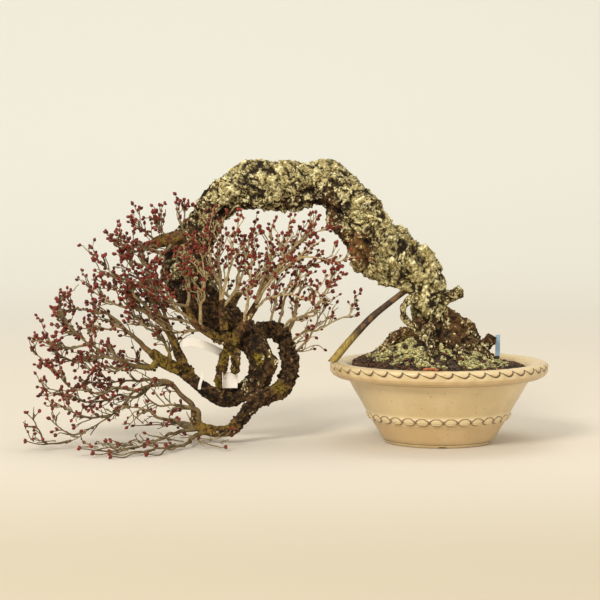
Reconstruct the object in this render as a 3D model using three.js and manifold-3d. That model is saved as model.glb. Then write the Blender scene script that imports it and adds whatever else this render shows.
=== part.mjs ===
// A Japanese apricot bonsai trained as a cascade, growing in its round pot with a lobed rim.
// Millimetres, X to the right, Y to the back, Z up.
// The origin is the middle of the pot's foot, on its underside.
import * as THREE from "three";
import { mergeVertices } from "three/addons/utils/BufferGeometryUtils.js";
import Module from "manifold-3d";

const wasm = await Module();
wasm.setup();

// Driving dimensions of the pot
const POT_HEIGHT = 121.5;
const FOOT_RADIUS = 80;
const FOOT_BEVEL = { radius: 82, height: 2 };
const WALL_BOTTOM = { radius: 83.6, height: 5 };
const WALL_TOP = { radius: 136.6, height: 96 };
const WALL_SLOPE = 0.582;
const BELT = { lobes: 32, low: 35, middle: 42, high: 47, proud: 4.2, pinch: 1.5, scallop: 3.5 };
// Rim rows: how far out from the rim's radius, height, pinch between lobes, slant as a share of half a lobe
const RIM = {
  lobes: 42, radius: 162, top: 148, scallop: 1.6,
  rows: [[-13, 99, 0, 0], [-2, 103.5, 1, 0], [1.5, 110, 2.1, 0.3], [0.8, 117, 2.9, 0.6]],
};
const INSIDE = { lipRadius: 141, lipHeight: 119, edgeRadius: 137, edgeHeight: 115.5, wallRadius: 129 };
const FLOOR = { top: 11, radius: 74, cornerRadius: 77, cornerHeight: 14 };
const PLAIN_CORNERS = 40;
const DRAIN_HOLES = { count: 3, radius: 8, fromAxis: 32, corners: 14, cutLength: 40 };
const DRAIN_GROOVE = { width: 11, depth: 2.2 };
const SCREEN = { radius: 13, thickness: 0.8, gap: 0.3, slotsAt: [-4, 0, 4], slotWidth: 2, slotLength: 12 };

// Driving dimensions of the soil
const SOIL = { edgeRadius: 130.5, edgeHeight: 113.5, mound: 50, moundX: -22, moundY: 6, spread: 80 };
const SOIL_BOTTOM = { height: FLOOR.top + 1.5, radius: 72, cornerRadius: 75.6, cornerHeight: 15 };
const SOIL_WALL = { radius: 128.5, height: 96 };
const SOIL_EDGE_DROP = 2;
const SOIL_ROWS = [[106, 24], [78, 20], [52, 16]];

// Driving dimensions of the wood
const TWIG = { spacing: 23, reach: 37, root: 1.15, neck: 0.85, firstAt: 0.14, lift: 0.42, lowLift: 0.12 };
const BUD = { radius: 2.6, length: 6.4, belly: 0.45, tip: 1.25 };
const SHOOT_TIP = 1.2;
const THICK_SHOOT = 3.1;
const SPLINE_STEP = 22.5;
const SIDES = {
  trunk: 12, coil: 8, stem: 6, limb: 7, stump: 7, deadwood: 5, prop: 8, thickShoot: 4, shoot: 3,
};

// Clearances
const FIT = 0.35;
const TWIG_CLEARANCE = 0.8;
const FLOOR_GAP = 0.9;
const SETTLE = 22;
const ROOM = { trunk: 5, stem: 2, limb: 1, label: 7 };

// The routes are set out in a front elevation, seen from a low point in front of the tree.
// A route point holds x and z as drawn on the plane through the pot's axis, and its real depth y.
const VIEWPOINT = new THREE.Vector3(-208.5, -2850, 406);
const CROWN_HEART = new THREE.Vector3(-345, 0, 160);
const UP = new THREE.Vector3(0, 0, 1);
const GOLDEN_ANGLE = 2.399963;

// Materials
const finish = (color, roughness) => new THREE.MeshStandardMaterial({ color, roughness, metalness: 0 });
const creamGlaze = finish("#d8b98a", 0.35);
const lichenBark = finish("#8f8059", 0.95);
const twigBark = finish("#7a6a52", 0.9);
const soilGrain = finish("#4a3524", 1);
const stickBark = finish("#6b5530", 0.9);
const plainPaper = finish("#e6dac4", 0.8);
const paleBlue = finish("#a9c4d6", 0.5);
const screenMesh = finish("#2f3a33", 0.7);

// Trunk, from the soil over the arch and down to the first limb: x, y, z, radius
const TRUNK_ROUTE = [
  [2, 0, 100, 44], [-2, 0, 132, 43], [-5, 0, 160, 36], [-10, 0, 186, 31], [-14, 0, 213, 29.5],
  [-21, -2, 238, 32], [-40, -3, 259, 36], [-62, -4, 271, 41], [-86, -5, 290, 43], [-109, -4, 316, 40],
  [-127, -2, 345, 40], [-146, 0, 374, 36], [-174, 2, 390, 36], [-207, 4, 388, 37.5], [-244, 6, 385, 39.5],
  [-274, 8, 383, 38], [-303, 10, 378, 34], [-329, 14, 364, 30], [-346, 20, 342, 27], [-362, 24, 315, 29],
  [-376, 28, 288, 33], [-381, 30, 258, 35], [-368, 28, 228, 33], [-344, 24, 201, 30], [-316, 16, 180, 27],
  [-291, 4, 160, 24], [-273, -8, 138, 21], [-266, -8, 114, 19], [-272, -2, 92, 16.5], [-291, 4, 74, 15.5],
  [-320, 8, 66, 14], [-346, 8, 75, 12], [-369, 6, 93, 11], [-390, 2, 107, 10],
];

// Swellings and hollows of the trunk: x, y, z of the middle, growth, reach
const TRUNK_LUMPS = [
  [-118, -6, 268, 6, 15], [-164, -4, 332, 7, 13], [-288, 0, 424, 5, 12], [-340, 8, 392, 4, 12],
  [-150, 4, 412, 3, 12], [-94, 0, 362, 5, 14], [-330, -6, 300, 8, 20], [-210, -30, 372, -6, 16],
  [-20, -34, 200, 6, 18], [-392, 20, 230, 6, 18], [-244, -8, 122, 9, 9],
];

// Coiled dark limb that leaves the trunk's lower end, turns back and runs on to the low spray
const COIL_ROUTE = [
  [-286, 4, 153, 15], [-266, 16, 168, 14], [-244, 24, 166, 13.5], [-230, 26, 148, 13.5],
  [-225, 22, 123, 13.5], [-226, 8, 96, 13.5], [-238, -10, 76, 13], [-260, -25, 68, 12.5],
  [-279, -30, 56, 12], [-294, -30, 38, 10.5], [-304, -30, 22, 9.8],
];

// Shorter woody parts that are one piece with the trunk
const HUB_ROUTE = [[-327, 4, 74, 9], [-327, -14, 102, 8.5], [-322, -24, 128, 8], [-312, -30, 150, 8.5]];
const HUB_STUB = [[-312, -28, 146, 8], [-305, -27, 124, 7.8], [-306, -24, 104, 7.5]];
const LIMB_FORKS = [
  [[-316, -32, 148, 7.6], [-336, -41, 157, 7]],
  [[-314, -31, 148, 7], [-323, -41, 171, 6.2]],
  [[-311, -31, 148, 7.6], [-301, -34, 165, 7.3]],
  [[-374, 5, 96, 9.5], [-386, -11, 121, 8]],
];
const KNOB = [[-8, -6, 214, 11], [18, -8, 220, 9.5], [33, -9, 226, 9]];
const DEADWOOD = [
  [-28, -24, 219, 8], [-46, -29, 212, 6.5], [-53, -31, 200, 5], [-52, -31, 188, 5], [-42, -29, 176, 6],
  [-28, -26, 164, 7],
];
const STUMP = [[58, 2, 132, 11], [72, 0, 146, 9.5], [80, 0, 160, 9]];
const ROOTS = [
  [[-24, -14, 172, 15], [-50, -20, 163, 11], [-67, -24, 155, 10], [-81, -26, 138, 7], [-98, -28, 118, 5]],
  [[6, -8, 192, 12], [30, -10, 182, 11], [45, -8, 170, 10], [55, -6, 152, 10], [66, -6, 140, 8],
    [84, -8, 120, 7]],
  [[8, -6, 178, 17], [26, -9, 160, 18], [40, -9, 138, 19], [50, -9, 116, 18]],
  [[-16, -30, 166, 12], [-20, -48, 156, 7], [-12, -62, 144, 6], [-14, -76, 130, 5]],
  [[12, -30, 158, 13], [26, -54, 142, 9], [34, -78, 122, 6]],
  [[-14, 32, 160, 14], [-34, 56, 142, 9], [-48, 82, 120, 6]],
  [[18, 30, 158, 14], [40, 54, 140, 9], [60, 76, 120, 6]],
];

// Shoots that rise straight from the coiled limb: radius at the root, then route points x, y, z
const COIL_SHOOTS = [
  [4, [[-234, 26, 156], [-222, 26, 174], [-214, 24, 194], [-213, 22, 214], [-208, 18, 236],
    [-206, 14, 254], [-192, 10, 264], [-176, 6, 270], [-160, 2, 274]]],
  [2.4, [[-243, 24, 166], [-237, 34, 194], [-230, 42, 214], [-220, 50, 232], [-213, 58, 252],
    [-210, 66, 272]]],
  [2.2, [[-254, 20, 170], [-249, 10, 192], [-246, 4, 213], [-246, 0, 237], [-240, -2, 258]]],
  [2.8, [[-240, 25, 162], [-219, 14, 183], [-198, 4, 189], [-186, -2, 194], [-176, -8, 213],
    [-166, -12, 236], [-159, -16, 258]]],
  [2.4, [[-228, 26, 146], [-210, 24, 159], [-195, 20, 166], [-182, 16, 166], [-160, 10, 180],
    [-138, 4, 189], [-126, 0, 204]]],
  [1.8, [[-225, 24, 138], [-213, 20, 148], [-202, 16, 152]]],
  [2.8, [[-225, 26, 120], [-213, 50, 135], [-196, 68, 156], [-182, 82, 180], [-172, 92, 207]]],
];

// Sprays: the limb that carries each one, and its shoots
const SPRAYS = {
  spray_shoulder: {
    limb: [[-352, 24, 304, 13], [-374, 14, 306, 12.5], [-394, 4, 303, 12], [-414, -4, 302, 10.5],
      [-428, -8, 298, 8]],
    shoots: [
      [2.4, [[-422, -4, 300], [-434, -12, 309], [-446, -18, 318], [-456, -22, 326]]],
      [2.4, [[-404, 2, 304], [-414, -10, 320], [-422, -16, 332]]],
      [2.8, [[-423, -8, 298], [-438, -24, 288], [-460, -38, 285], [-480, -48, 294], [-490, -52, 309]]],
      [2.4, [[-380, 10, 308], [-384, -6, 330], [-381, -12, 350]]],
      [2.6, [[-400, -6, 298], [-410, -26, 285], [-428, -42, 270], [-448, -54, 268], [-468, -64, 279]]],
    ],
  },
  spray_upper_left: {
    limb: [[-385, -10, 118, 7.6], [-399, -22, 152, 6.2], [-412, -28, 176, 4.6]],
    shoots: [
      [4, [[-411, -28, 173], [-434, -36, 190], [-458, -42, 202], [-485, -48, 208], [-510, -52, 219],
        [-531, -54, 237]]],
      [3.4, [[-428, -34, 186], [-446, -48, 210], [-465, -58, 232], [-489, -66, 250], [-510, -70, 268],
        [-520, -72, 282]]],
      [3.4, [[-411, -28, 174], [-432, -30, 210], [-446, -28, 237], [-462, -26, 262], [-476, -22, 284]]],
      [3.4, [[-399, -22, 152], [-410, -12, 189], [-422, 0, 222], [-434, 12, 254], [-448, 22, 278]]],
    ],
  },
  spray_left: {
    limb: [[-389, 2, 106.5, 9], [-402, 0, 114, 9.5], [-416, -2, 122, 9.5], [-432, -4, 134, 7]],
    shoots: [
      [5, [[-429, -4, 130], [-446, -8, 147], [-460, -16, 160], [-478, -24, 171], [-500, -30, 171],
        [-519, -34, 171], [-536, -36, 170]]],
      [2.8, [[-464, -18, 162], [-492, -30, 188], [-512, -34, 194], [-530, -36, 198], [-546, -38, 202],
        [-561, -40, 212]]],
      [4.6, [[-422, -2, 123], [-435, -16, 111], [-454, -30, 110], [-477, -40, 122], [-506, -48, 130],
        [-524, -54, 144], [-542, -58, 159], [-556, -60, 170], [-579, -62, 176]]],
      [2.6, [[-502, -47, 130], [-522, -42, 123], [-542, -38, 122], [-566, -32, 124], [-588, -26, 120],
        [-603, -22, 130], [-615, -20, 142]]],
      [2.2, [[-526, -55, 146], [-548, -66, 141], [-568, -74, 142], [-590, -80, 148], [-604, -84, 158]]],
      [2.4, [[-542, -58, 159], [-556, -66, 177], [-566, -72, 195], [-573, -76, 213]]],
      [2.2, [[-464, -34, 116], [-484, -44, 108], [-508, -52, 110], [-530, -58, 105]]],
      [3.2, [[-404, 2, 114], [-420, 26, 112], [-446, 52, 116], [-472, 72, 122], [-500, 86, 126],
        [-526, 96, 132]]],
    ],
  },
  spray_hub_left: {
    limb: [[-335, -40.5, 156.5, 6.7], [-357, -48, 171, 6], [-372, -50, 186, 5.2], [-378, -50, 204, 4]],
    shoots: [
      [2.6, [[-378, -50, 203], [-394, -62, 209], [-412, -74, 216], [-432, -84, 225], [-448, -92, 238]]],
      [3, [[-378, -50, 202], [-375, -60, 225], [-376, -68, 249], [-384, -74, 272], [-392, -78, 291]]],
      [2.6, [[-370, -50, 183], [-387, -68, 195], [-404, -82, 219], [-420, -94, 243],
        [-432, -102, 262]]],
      [3, [[-357, -48, 171], [-358, -64, 198], [-354, -78, 225], [-352, -88, 255], [-358, -94, 282],
        [-368, -98, 302]]],
    ],
  },
  spray_hub_up: {
    limb: [[-322.5, -40.5, 169, 6], [-325, -45, 190, 5], [-327, -48, 213, 4]],
    shoots: [
      [3.4, [[-327, -48, 211], [-328, -48, 243], [-330, -46, 276], [-327, -42, 306], [-327, -40, 328]]],
      [2.6, [[-327, -48, 212], [-316, -58, 255], [-309, -66, 286], [-304, -70, 314], [-298, -72, 338]]],
      [2.6, [[-328, -48, 237], [-340, -60, 264], [-346, -68, 294], [-345, -74, 321], [-339, -78, 345]]],
      [2.8, [[-326, -46, 201], [-310, -34, 222], [-297, -22, 246], [-288, -12, 276], [-285, -6, 306]]],
    ],
  },
  spray_hub_right: {
    limb: [[-301.5, -34, 164, 7.1], [-286, -36, 186, 6], [-274, -38, 208, 4.6]],
    shoots: [
      [3.6, [[-275, -38, 207], [-266, -36, 232], [-258, -34, 261], [-254, -30, 291], [-255, -26, 318]]],
      [3.2, [[-274, -38, 208], [-254, -48, 240], [-238, -56, 267], [-228, -62, 297], [-224, -66, 327]]],
      [3, [[-267, -36, 230], [-244, -26, 256], [-224, -16, 282], [-207, -6, 306], [-194, 0, 328]]],
      [2.4, [[-278, -37, 201], [-260, -52, 212], [-238, -64, 218], [-216, -74, 219], [-195, -82, 216],
        [-177, -88, 220], [-162, -92, 225]]],
      [2.6, [[-250, -50, 246], [-232, -64, 260], [-212, -76, 274], [-189, -86, 279], [-164, -94, 272],
        [-135, -100, 274]]],
      [2.2, [[-237, -57, 270], [-220, -50, 291], [-202, -44, 308], [-184, -40, 316], [-170, -38, 322]]],
      [2.6, [[-294, -35, 175], [-288, -50, 204], [-284, -64, 234], [-280, -76, 264],
        [-280, -86, 291]]],
    ],
  },
  spray_low: {
    limb: [[-300, -30, 28, 9], [-308, -30, 18, 9.5], [-324, -30, 8, 9], [-344, -28, 9, 8.5],
      [-360, -28, 21, 8], [-368, -28, 38, 6.5]],
    shoots: [
      [5, [[-360, -28, 22], [-366, -34, 48], [-387, -42, 52], [-414, -48, 54], [-432, -52, 60],
        [-442, -54, 70], [-451, -52, 76]]],
      [4.6, [[-368, -28, 36], [-372, -22, 57], [-384, -20, 66], [-393, -20, 80], [-404, -24, 88],
        [-422, -30, 86], [-440, -38, 81], [-458, -46, 72], [-472, -54, 58], [-490, -62, 40],
        [-510, -68, 28], [-528, -74, 16], [-544, -80, 2], [-558, -84, -10]]],
      [2.8, [[-452, -43, 75], [-470, -38, 80], [-488, -34, 82], [-502, -32, 72], [-519, -32, 72],
        [-534, -32, 78], [-548, -34, 81], [-560, -38, 86], [-572, -42, 99], [-584, -46, 111]]],
      [2.6, [[-436, -36, 81], [-458, -24, 66], [-476, -16, 68], [-496, -10, 63], [-518, -6, 63],
        [-536, -2, 60], [-552, 2, 63], [-567, 6, 72], [-584, 8, 78], [-602, 10, 82]]],
      [3, [[-400, -23, 87], [-418, -8, 94], [-438, 4, 92], [-462, 14, 90], [-488, 22, 88],
        [-512, 28, 88], [-536, 32, 92]]],
      [4, [[-360, -28, 20], [-378, -36, 22], [-394, -46, 30], [-412, -56, 33], [-429, -64, 39],
        [-448, -68, 50], [-468, -70, 51], [-483, -68, 46], [-494, -63, 39]]],
      [2.2, [[-494, -64, 38], [-520, -74, 36], [-536, -80, 39], [-549, -86, 44], [-566, -92, 51],
        [-580, -96, 60]]],
      [2, [[-532, -76, 13], [-550, -84, 8], [-562, -90, 14], [-574, -94, 22], [-585, -98, 33]]],
      [2, [[-554, -83, -6], [-568, -92, -14], [-586, -100, -14], [-604, -106, -9], [-621, -110, -3]]],
      [1.8, [[-590, -101, -14], [-596, -110, 3], [-602, -116, 18], [-612, -120, 33],
        [-620, -122, 42]]],
      [3.4, [[-358, -28, 18], [-376, -40, 16], [-398, -58, 8], [-417, -78, -3], [-435, -98, -15],
        [-450, -114, -27], [-465, -130, -39], [-480, -146, -57], [-496, -158, -70],
        [-512, -166, -64], [-519, -170, -50]]],
      [2, [[-458, -122, -33], [-478, -136, -34], [-500, -146, -32], [-520, -154, -27],
        [-540, -160, -21]]],
      [4.2, [[-352, -28, 12], [-364, -42, 2], [-374, -56, -12], [-374, -70, -26], [-382, -88, -39],
        [-396, -108, -57], [-408, -126, -70], [-416, -142, -86], [-424, -154, -96],
        [-438, -162, -102]]],
      [2.2, [[-382, -88, -39], [-404, -104, -40], [-423, -120, -42], [-440, -136, -54],
        [-458, -148, -62], [-476, -160, -66], [-494, -170, -63]]],
      [2, [[-428, -123, -45], [-444, -144, -66], [-460, -162, -81], [-477, -174, -90],
        [-492, -182, -84]]],
      [2, [[-356, -30, 12], [-363, -30, -9], [-360, -52, -24], [-346, -72, -32], [-332, -88, -36],
        [-322, -104, -40]]],
      [3, [[-334, -28, 9], [-342, 0, 20], [-362, 26, 27], [-392, 50, 27], [-424, 72, 21],
        [-458, 88, 15]]],
    ],
  },
  spray_back_upper: {
    limb: [[-372, 40, 250, 10], [-378, 72, 256, 8], [-390, 92, 268, 5.5]],
    shoots: [
      [3.6, [[-386, 84, 264], [-398, 98, 285], [-410, 108, 306], [-422, 114, 322]]],
      [3.6, [[-388, 90, 267], [-406, 110, 276], [-430, 128, 288], [-454, 142, 294], [-476, 150, 297]]],
      [3.6, [[-382, 78, 260], [-400, 102, 240], [-430, 122, 225], [-458, 138, 222], [-488, 150, 231],
        [-512, 158, 243]]],
      [3, [[-388, 90, 267], [-374, 112, 288], [-358, 128, 309], [-346, 138, 330]]],
    ],
  },
  spray_back_right: {
    limb: [[-326, 28, 192, 10], [-314, 60, 204, 7.5], [-300, 82, 222, 5]],
    shoots: [
      [3.4, [[-304, 78, 216], [-302, 98, 243], [-294, 112, 270], [-286, 122, 294], [-280, 128, 315]]],
      [3.6, [[-302, 80, 220], [-280, 98, 234], [-256, 112, 255], [-232, 122, 276], [-212, 128, 294]]],
      [3, [[-309, 68, 210], [-326, 90, 228], [-340, 108, 255], [-350, 120, 279]]],
    ],
  },
};

// Prop that holds up the trunk, from the pot's rim: x, y, z, radius
const PROP_ROUTE = [
  [-164, -14, 114, 6.4], [-154, -14, 127, 6.2], [-136, -13, 149, 5.8], [-104, -11, 184, 5.2],
  [-74, -9, 209, 4.7], [-36, -6, 238, 4.3],
];

// Blank labels: the middle of the strip as a route, its height and its thickness
const LABEL_THICKNESS = 0.8;
const STEM_LABEL = {
  route: [[-385, -25, 147], [-372, -27, 150], [-356, -27, 146], [-340, -20, 140], [-328, -14.2, 134],
    [-318, -13.8, 131]],
  height: 13,
};
const STUB_LABEL = {
  route: [[-325, -27, 92], [-323.5, -20, 92], [-318, -15.2, 92], [-310, -14, 92], [-302.5, -14.4, 92]],
  height: 24,
};
const TIE_STRIP = {
  route: [[-354, -0.6, 106], [-356, -4.1, 96], [-359, -5.9, 86], [-360, -5.6, 78]],
  width: 4.5,
};
const SOIL_LABEL = { x: 90, y: 13, low: 92, high: 160, width: 8, thickness: 1.2, turn: 0.5 };

// Maths of routes

function seenAt([x, y, z]) {
  const drawn = new THREE.Vector3(x, 0, z);
  const share = (y - VIEWPOINT.y) / -VIEWPOINT.y;
  return drawn.sub(VIEWPOINT).multiplyScalar(share).add(VIEWPOINT);
}

// What would hang below the pot's foot bends and lies along the surface.
function settle(point, radius) {
  const rest = radius + FLOOR_GAP;
  const soft = rest + SETTLE;
  if (point.z < soft) point.z = rest + SETTLE * Math.exp((point.z - soft) / SETTLE);
  return point;
}

function placed([x, y, z, radius]) {
  return { at: settle(seenAt([x, y, z]), radius), radius };
}

function catmullRom(a, b, c, d, t) {
  return 0.5 * (2 * b + (c - a) * t + (2 * a - 5 * b + 4 * c - d) * t * t
    + (3 * b - a - 3 * c + d) * t * t * t);
}

// A smooth run through the given points, with a step about every SPLINE_STEP millimetres
function smoothed(route) {
  const path = [];
  for (let i = 0; i + 1 < route.length; i++) {
    const four = [i - 1, i, i + 1, i + 2].map((k) => route[Math.min(Math.max(k, 0), route.length - 1)]);
    const steps = Math.max(1, Math.round(four[1].at.distanceTo(four[2].at) / SPLINE_STEP));
    for (let s = 0; s < steps; s++) {
      const between = (value) => catmullRom(...four.map(value), s / steps);
      path.push({
        at: new THREE.Vector3(between((p) => p.at.x), between((p) => p.at.y), between((p) => p.at.z)),
        radius: between((p) => p.radius),
      });
    }
  }
  path.push(route.at(-1));
  return path;
}

function across(direction) {
  const helper = Math.abs(direction.z) < 0.8 ? UP : new THREE.Vector3(1, 0, 0);
  return new THREE.Vector3().crossVectors(direction, helper).normalize();
}

function pathLength(path) {
  let length = 0;
  for (let i = 1; i < path.length; i++) length += path[i].at.distanceTo(path[i - 1].at);
  return length;
}

function alongPath(path, share) {
  let left = share * pathLength(path);
  for (let i = 1; i < path.length; i++) {
    const span = path[i].at.distanceTo(path[i - 1].at);
    if (left <= span || i === path.length - 1) {
      const along = path[i].at.clone().sub(path[i - 1].at).normalize();
      return { at: path[i - 1].at.clone().addScaledVector(along, Math.min(left, span)), along };
    }
    left -= span;
  }
}

// Repeatable draws between 0 and 1
function dice(seed) {
  let state = (seed * 7919 + 104729) % 2147483647;
  return () => {
    state = (state * 16807) % 2147483647;
    return state / 2147483647;
  };
}

// Closed surfaces from rings of points

function stitch(lower, upper) {
  const faces = [];
  const n = lower.length;
  const m = upper.length;
  let i = 0;
  let j = 0;
  while (i < n || j < m) {
    const stepLower = n > 1 && i < n && (m === 1 || j >= m || (i + 1) / n <= (j + 1) / m);
    if (stepLower) {
      faces.push(lower[i % n], lower[(i + 1) % n], upper[j % m]);
      i++;
    } else {
      if (m > 1) faces.push(upper[(j + 1) % m], upper[j % m], lower[i % n]);
      j++;
    }
    if (m === 1 && i >= n) break;
    if (n === 1 && j >= m) break;
  }
  return faces;
}

function skin(rings) {
  const corners = [];
  for (let k = 1; k < rings.length; k++) corners.push(...stitch(rings[k - 1], rings[k]));
  return new THREE.BufferGeometry().setFromPoints(corners);
}

function solid(geometry) {
  const plain = geometry.index ? geometry.toNonIndexed() : geometry;
  const bare = new THREE.BufferGeometry().setAttribute("position", plain.getAttribute("position"));
  const merged = mergeVertices(bare, 1e-4);
  const vertProperties = new Float32Array(merged.getAttribute("position").array);
  const triVerts = new Uint32Array(merged.index.array);
  return new wasm.Manifold(new wasm.Mesh({ numProp: 3, vertProperties, triVerts }));
}

function joined(solids) {
  return solids.reduce((all, next) => all.add(next));
}

// The main body of a solid, without the scraps that a cut leaves
function mainBody(shape) {
  return shape.decompose().reduce((best, next) => (next.volume() > best.volume() ? next : best));
}

function toGeometry(shape) {
  const { vertProperties, triVerts } = shape.getMesh();
  const geometry = new THREE.BufferGeometry();
  geometry.setAttribute("position", new THREE.BufferAttribute(vertProperties, 3));
  geometry.setIndex(new THREE.BufferAttribute(triVerts, 1));
  return geometry;
}

// A round section carried along a path, closed with a blunt point at each end
function tube(path, sides, { root = 0.4, tip = 0.5, swell = 0, bark = null } = {}) {
  const rings = [];
  let normal = null;
  let run = 0;
  path.forEach(({ at, radius }, i) => {
    const ahead = path[Math.min(i + 1, path.length - 1)].at;
    const behind = path[Math.max(i - 1, 0)].at;
    const along = ahead.clone().sub(behind).normalize();
    normal = normal ?? across(along);
    normal.addScaledVector(along, -normal.dot(along)).normalize();
    const binormal = along.clone().cross(normal);
    if (i) run += at.distanceTo(path[i - 1].at);
    if (i === 0) rings.push([at.clone().addScaledVector(along, -root * radius - swell)]);
    rings.push(Array.from({ length: sides }, (_, k) => {
      const angle = (k / sides) * 2 * Math.PI;
      const outward = normal.clone().multiplyScalar(Math.cos(angle))
        .addScaledVector(binormal, Math.sin(angle));
      const reach = bark ? bark(at, outward, radius, run, angle) : radius;
      return at.clone().addScaledVector(outward, reach + swell);
    }));
    if (i === path.length - 1) rings.push([at.clone().addScaledVector(along, tip * radius + swell)]);
  });
  return solid(skin(rings));
}

// Knotty bark: low waves round and along the wood, and the trunk's own lumps
function knotty(at, outward, radius, run, angle) {
  const waves = 0.07 * Math.sin(2 * angle + run / 38) + 0.06 * Math.sin(3 * angle - run / 23 + 1.3)
    + 0.05 * Math.sin(5 * angle + run / 17 + 0.7);
  const base = radius * (0.95 + waves);
  const spot = at.clone().addScaledVector(outward, base);
  return TRUNK_LUMPS.reduce((reach, [x, y, z, growth, width]) => {
    const away = spot.distanceTo(new THREE.Vector3(x, y, z));
    return reach + growth * Math.exp(-(away * away) / (2 * width * width));
  }, base);
}

function rough(at, outward, radius, run, angle) {
  return radius * (1 + 0.08 * Math.sin(3 * angle + run / 9) + 0.05 * Math.sin(2 * angle - run / 6));
}

// Pot

function wallRadius(height) {
  return WALL_BOTTOM.radius + WALL_SLOPE * (height - WALL_BOTTOM.height);
}

// Every second corner of a lobed ring is pinched in and lifted.
function ring(radius, height, corners, { pinch = 0, lift = 0, slant = 0 } = {}) {
  return Array.from({ length: corners }, (_, i) => {
    const angle = ((i + slant) / corners) * 2 * Math.PI;
    const pinched = i % 2;
    const reach = radius - pinched * pinch;
    return new THREE.Vector3(reach * Math.cos(angle), reach * Math.sin(angle), height + pinched * lift);
  });
}

function potBody() {
  const belt = 2 * BELT.lobes;
  const rim = 2 * RIM.lobes;
  return skin([
    [new THREE.Vector3(0, 0, 0)],
    ring(FOOT_RADIUS, 0, PLAIN_CORNERS),
    ring(FOOT_BEVEL.radius, FOOT_BEVEL.height, PLAIN_CORNERS),
    ring(WALL_BOTTOM.radius, WALL_BOTTOM.height, PLAIN_CORNERS),
    ring(wallRadius(BELT.low - 1), BELT.low - 1, PLAIN_CORNERS),
    ring(wallRadius(BELT.low) + BELT.proud, BELT.low, belt, { pinch: BELT.pinch * 2, lift: BELT.scallop }),
    ring(wallRadius(BELT.middle) + BELT.proud, BELT.middle, belt, { pinch: BELT.pinch }),
    ring(wallRadius(BELT.high) + 0.4, BELT.high, belt),
    ring(wallRadius(BELT.high + 3), BELT.high + 3, PLAIN_CORNERS),
    ring(WALL_TOP.radius, WALL_TOP.height, PLAIN_CORNERS),
    ...RIM.rows.map(([out, height, pinch, slant]) => ring(RIM.radius + out, height, rim, { pinch, slant })),
    ring(RIM.radius - 6, POT_HEIGHT, rim, { pinch: 2.1, lift: -RIM.scallop, slant: 0.8 }),
    ring(RIM.top, POT_HEIGHT - 0.3, PLAIN_CORNERS),
    ring(INSIDE.lipRadius, INSIDE.lipHeight, PLAIN_CORNERS),
    ring(INSIDE.edgeRadius, INSIDE.edgeHeight, PLAIN_CORNERS),
    ring(INSIDE.wallRadius, WALL_TOP.height, PLAIN_CORNERS),
    ring(FLOOR.cornerRadius, FLOOR.cornerHeight, PLAIN_CORNERS),
    ring(FLOOR.radius, FLOOR.top, PLAIN_CORNERS),
    [new THREE.Vector3(0, 0, FLOOR.top)],
  ]);
}

function drainAngle(k) {
  return ((k + 0.25) / DRAIN_HOLES.count) * 2 * Math.PI;
}

function uprightCylinder(radius, length) {
  return new THREE.CylinderGeometry(radius, radius, length, DRAIN_HOLES.corners).rotateX(Math.PI / 2);
}

function drainHole(k) {
  const hole = uprightCylinder(DRAIN_HOLES.radius, DRAIN_HOLES.cutLength);
  hole.translate(DRAIN_HOLES.fromAxis, 0, 0);
  return solid(hole.rotateZ(drainAngle(k)));
}

// A groove in the foot's underside lets the water run from each hole to the edge.
function drainGroove(k) {
  const groove = new THREE.BoxGeometry(FOOT_RADIUS, DRAIN_GROOVE.width, 2 * DRAIN_GROOVE.depth);
  groove.translate(DRAIN_HOLES.fromAxis + FOOT_RADIUS / 2, 0, 0);
  return solid(groove.rotateZ(drainAngle(k)));
}

function pot() {
  let shape = solid(potBody());
  for (let k = 0; k < DRAIN_HOLES.count; k++) {
    shape = shape.subtract(drainHole(k)).subtract(drainGroove(k));
  }
  return shape;
}

// A stiff mesh disc lies over each drain hole and keeps the soil in.
function drainScreen(k) {
  const middle = FLOOR.top + SCREEN.gap + SCREEN.thickness / 2;
  const disc = uprightCylinder(SCREEN.radius, SCREEN.thickness);
  disc.translate(DRAIN_HOLES.fromAxis, 0, middle);
  let shape = solid(disc.rotateZ(drainAngle(k)));
  for (const x of SCREEN.slotsAt) {
    const slot = new THREE.BoxGeometry(SCREEN.slotWidth, SCREEN.slotLength, 4 * SCREEN.thickness);
    slot.translate(DRAIN_HOLES.fromAxis + x, 0, middle);
    shape = shape.subtract(solid(slot.rotateZ(drainAngle(k))));
  }
  return shape;
}

// Soil

function soilTop(x, y) {
  const away = ((x - SOIL.moundX) ** 2 + (y - SOIL.moundY) ** 2) / SOIL.spread ** 2;
  return SOIL.edgeHeight + SOIL.mound * Math.exp(-away);
}

function soilRing(radius, corners, drop = 0) {
  const spots = ring(radius, 0, corners);
  spots.forEach((spot) => (spot.z = soilTop(spot.x, spot.y) - drop));
  return spots;
}

function soilMound() {
  return skin([
    [new THREE.Vector3(0, 0, SOIL_BOTTOM.height)],
    ring(SOIL_BOTTOM.radius, SOIL_BOTTOM.height, PLAIN_CORNERS),
    ring(SOIL_BOTTOM.cornerRadius, SOIL_BOTTOM.cornerHeight, PLAIN_CORNERS),
    ring(SOIL_WALL.radius, SOIL_WALL.height, PLAIN_CORNERS),
    soilRing(SOIL.edgeRadius, PLAIN_CORNERS, SOIL_EDGE_DROP),
    ...SOIL_ROWS.map(([radius, corners]) => soilRing(radius, corners)),
    [new THREE.Vector3(0, 0, soilTop(0, 0))],
  ]);
}

// Wood

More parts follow.
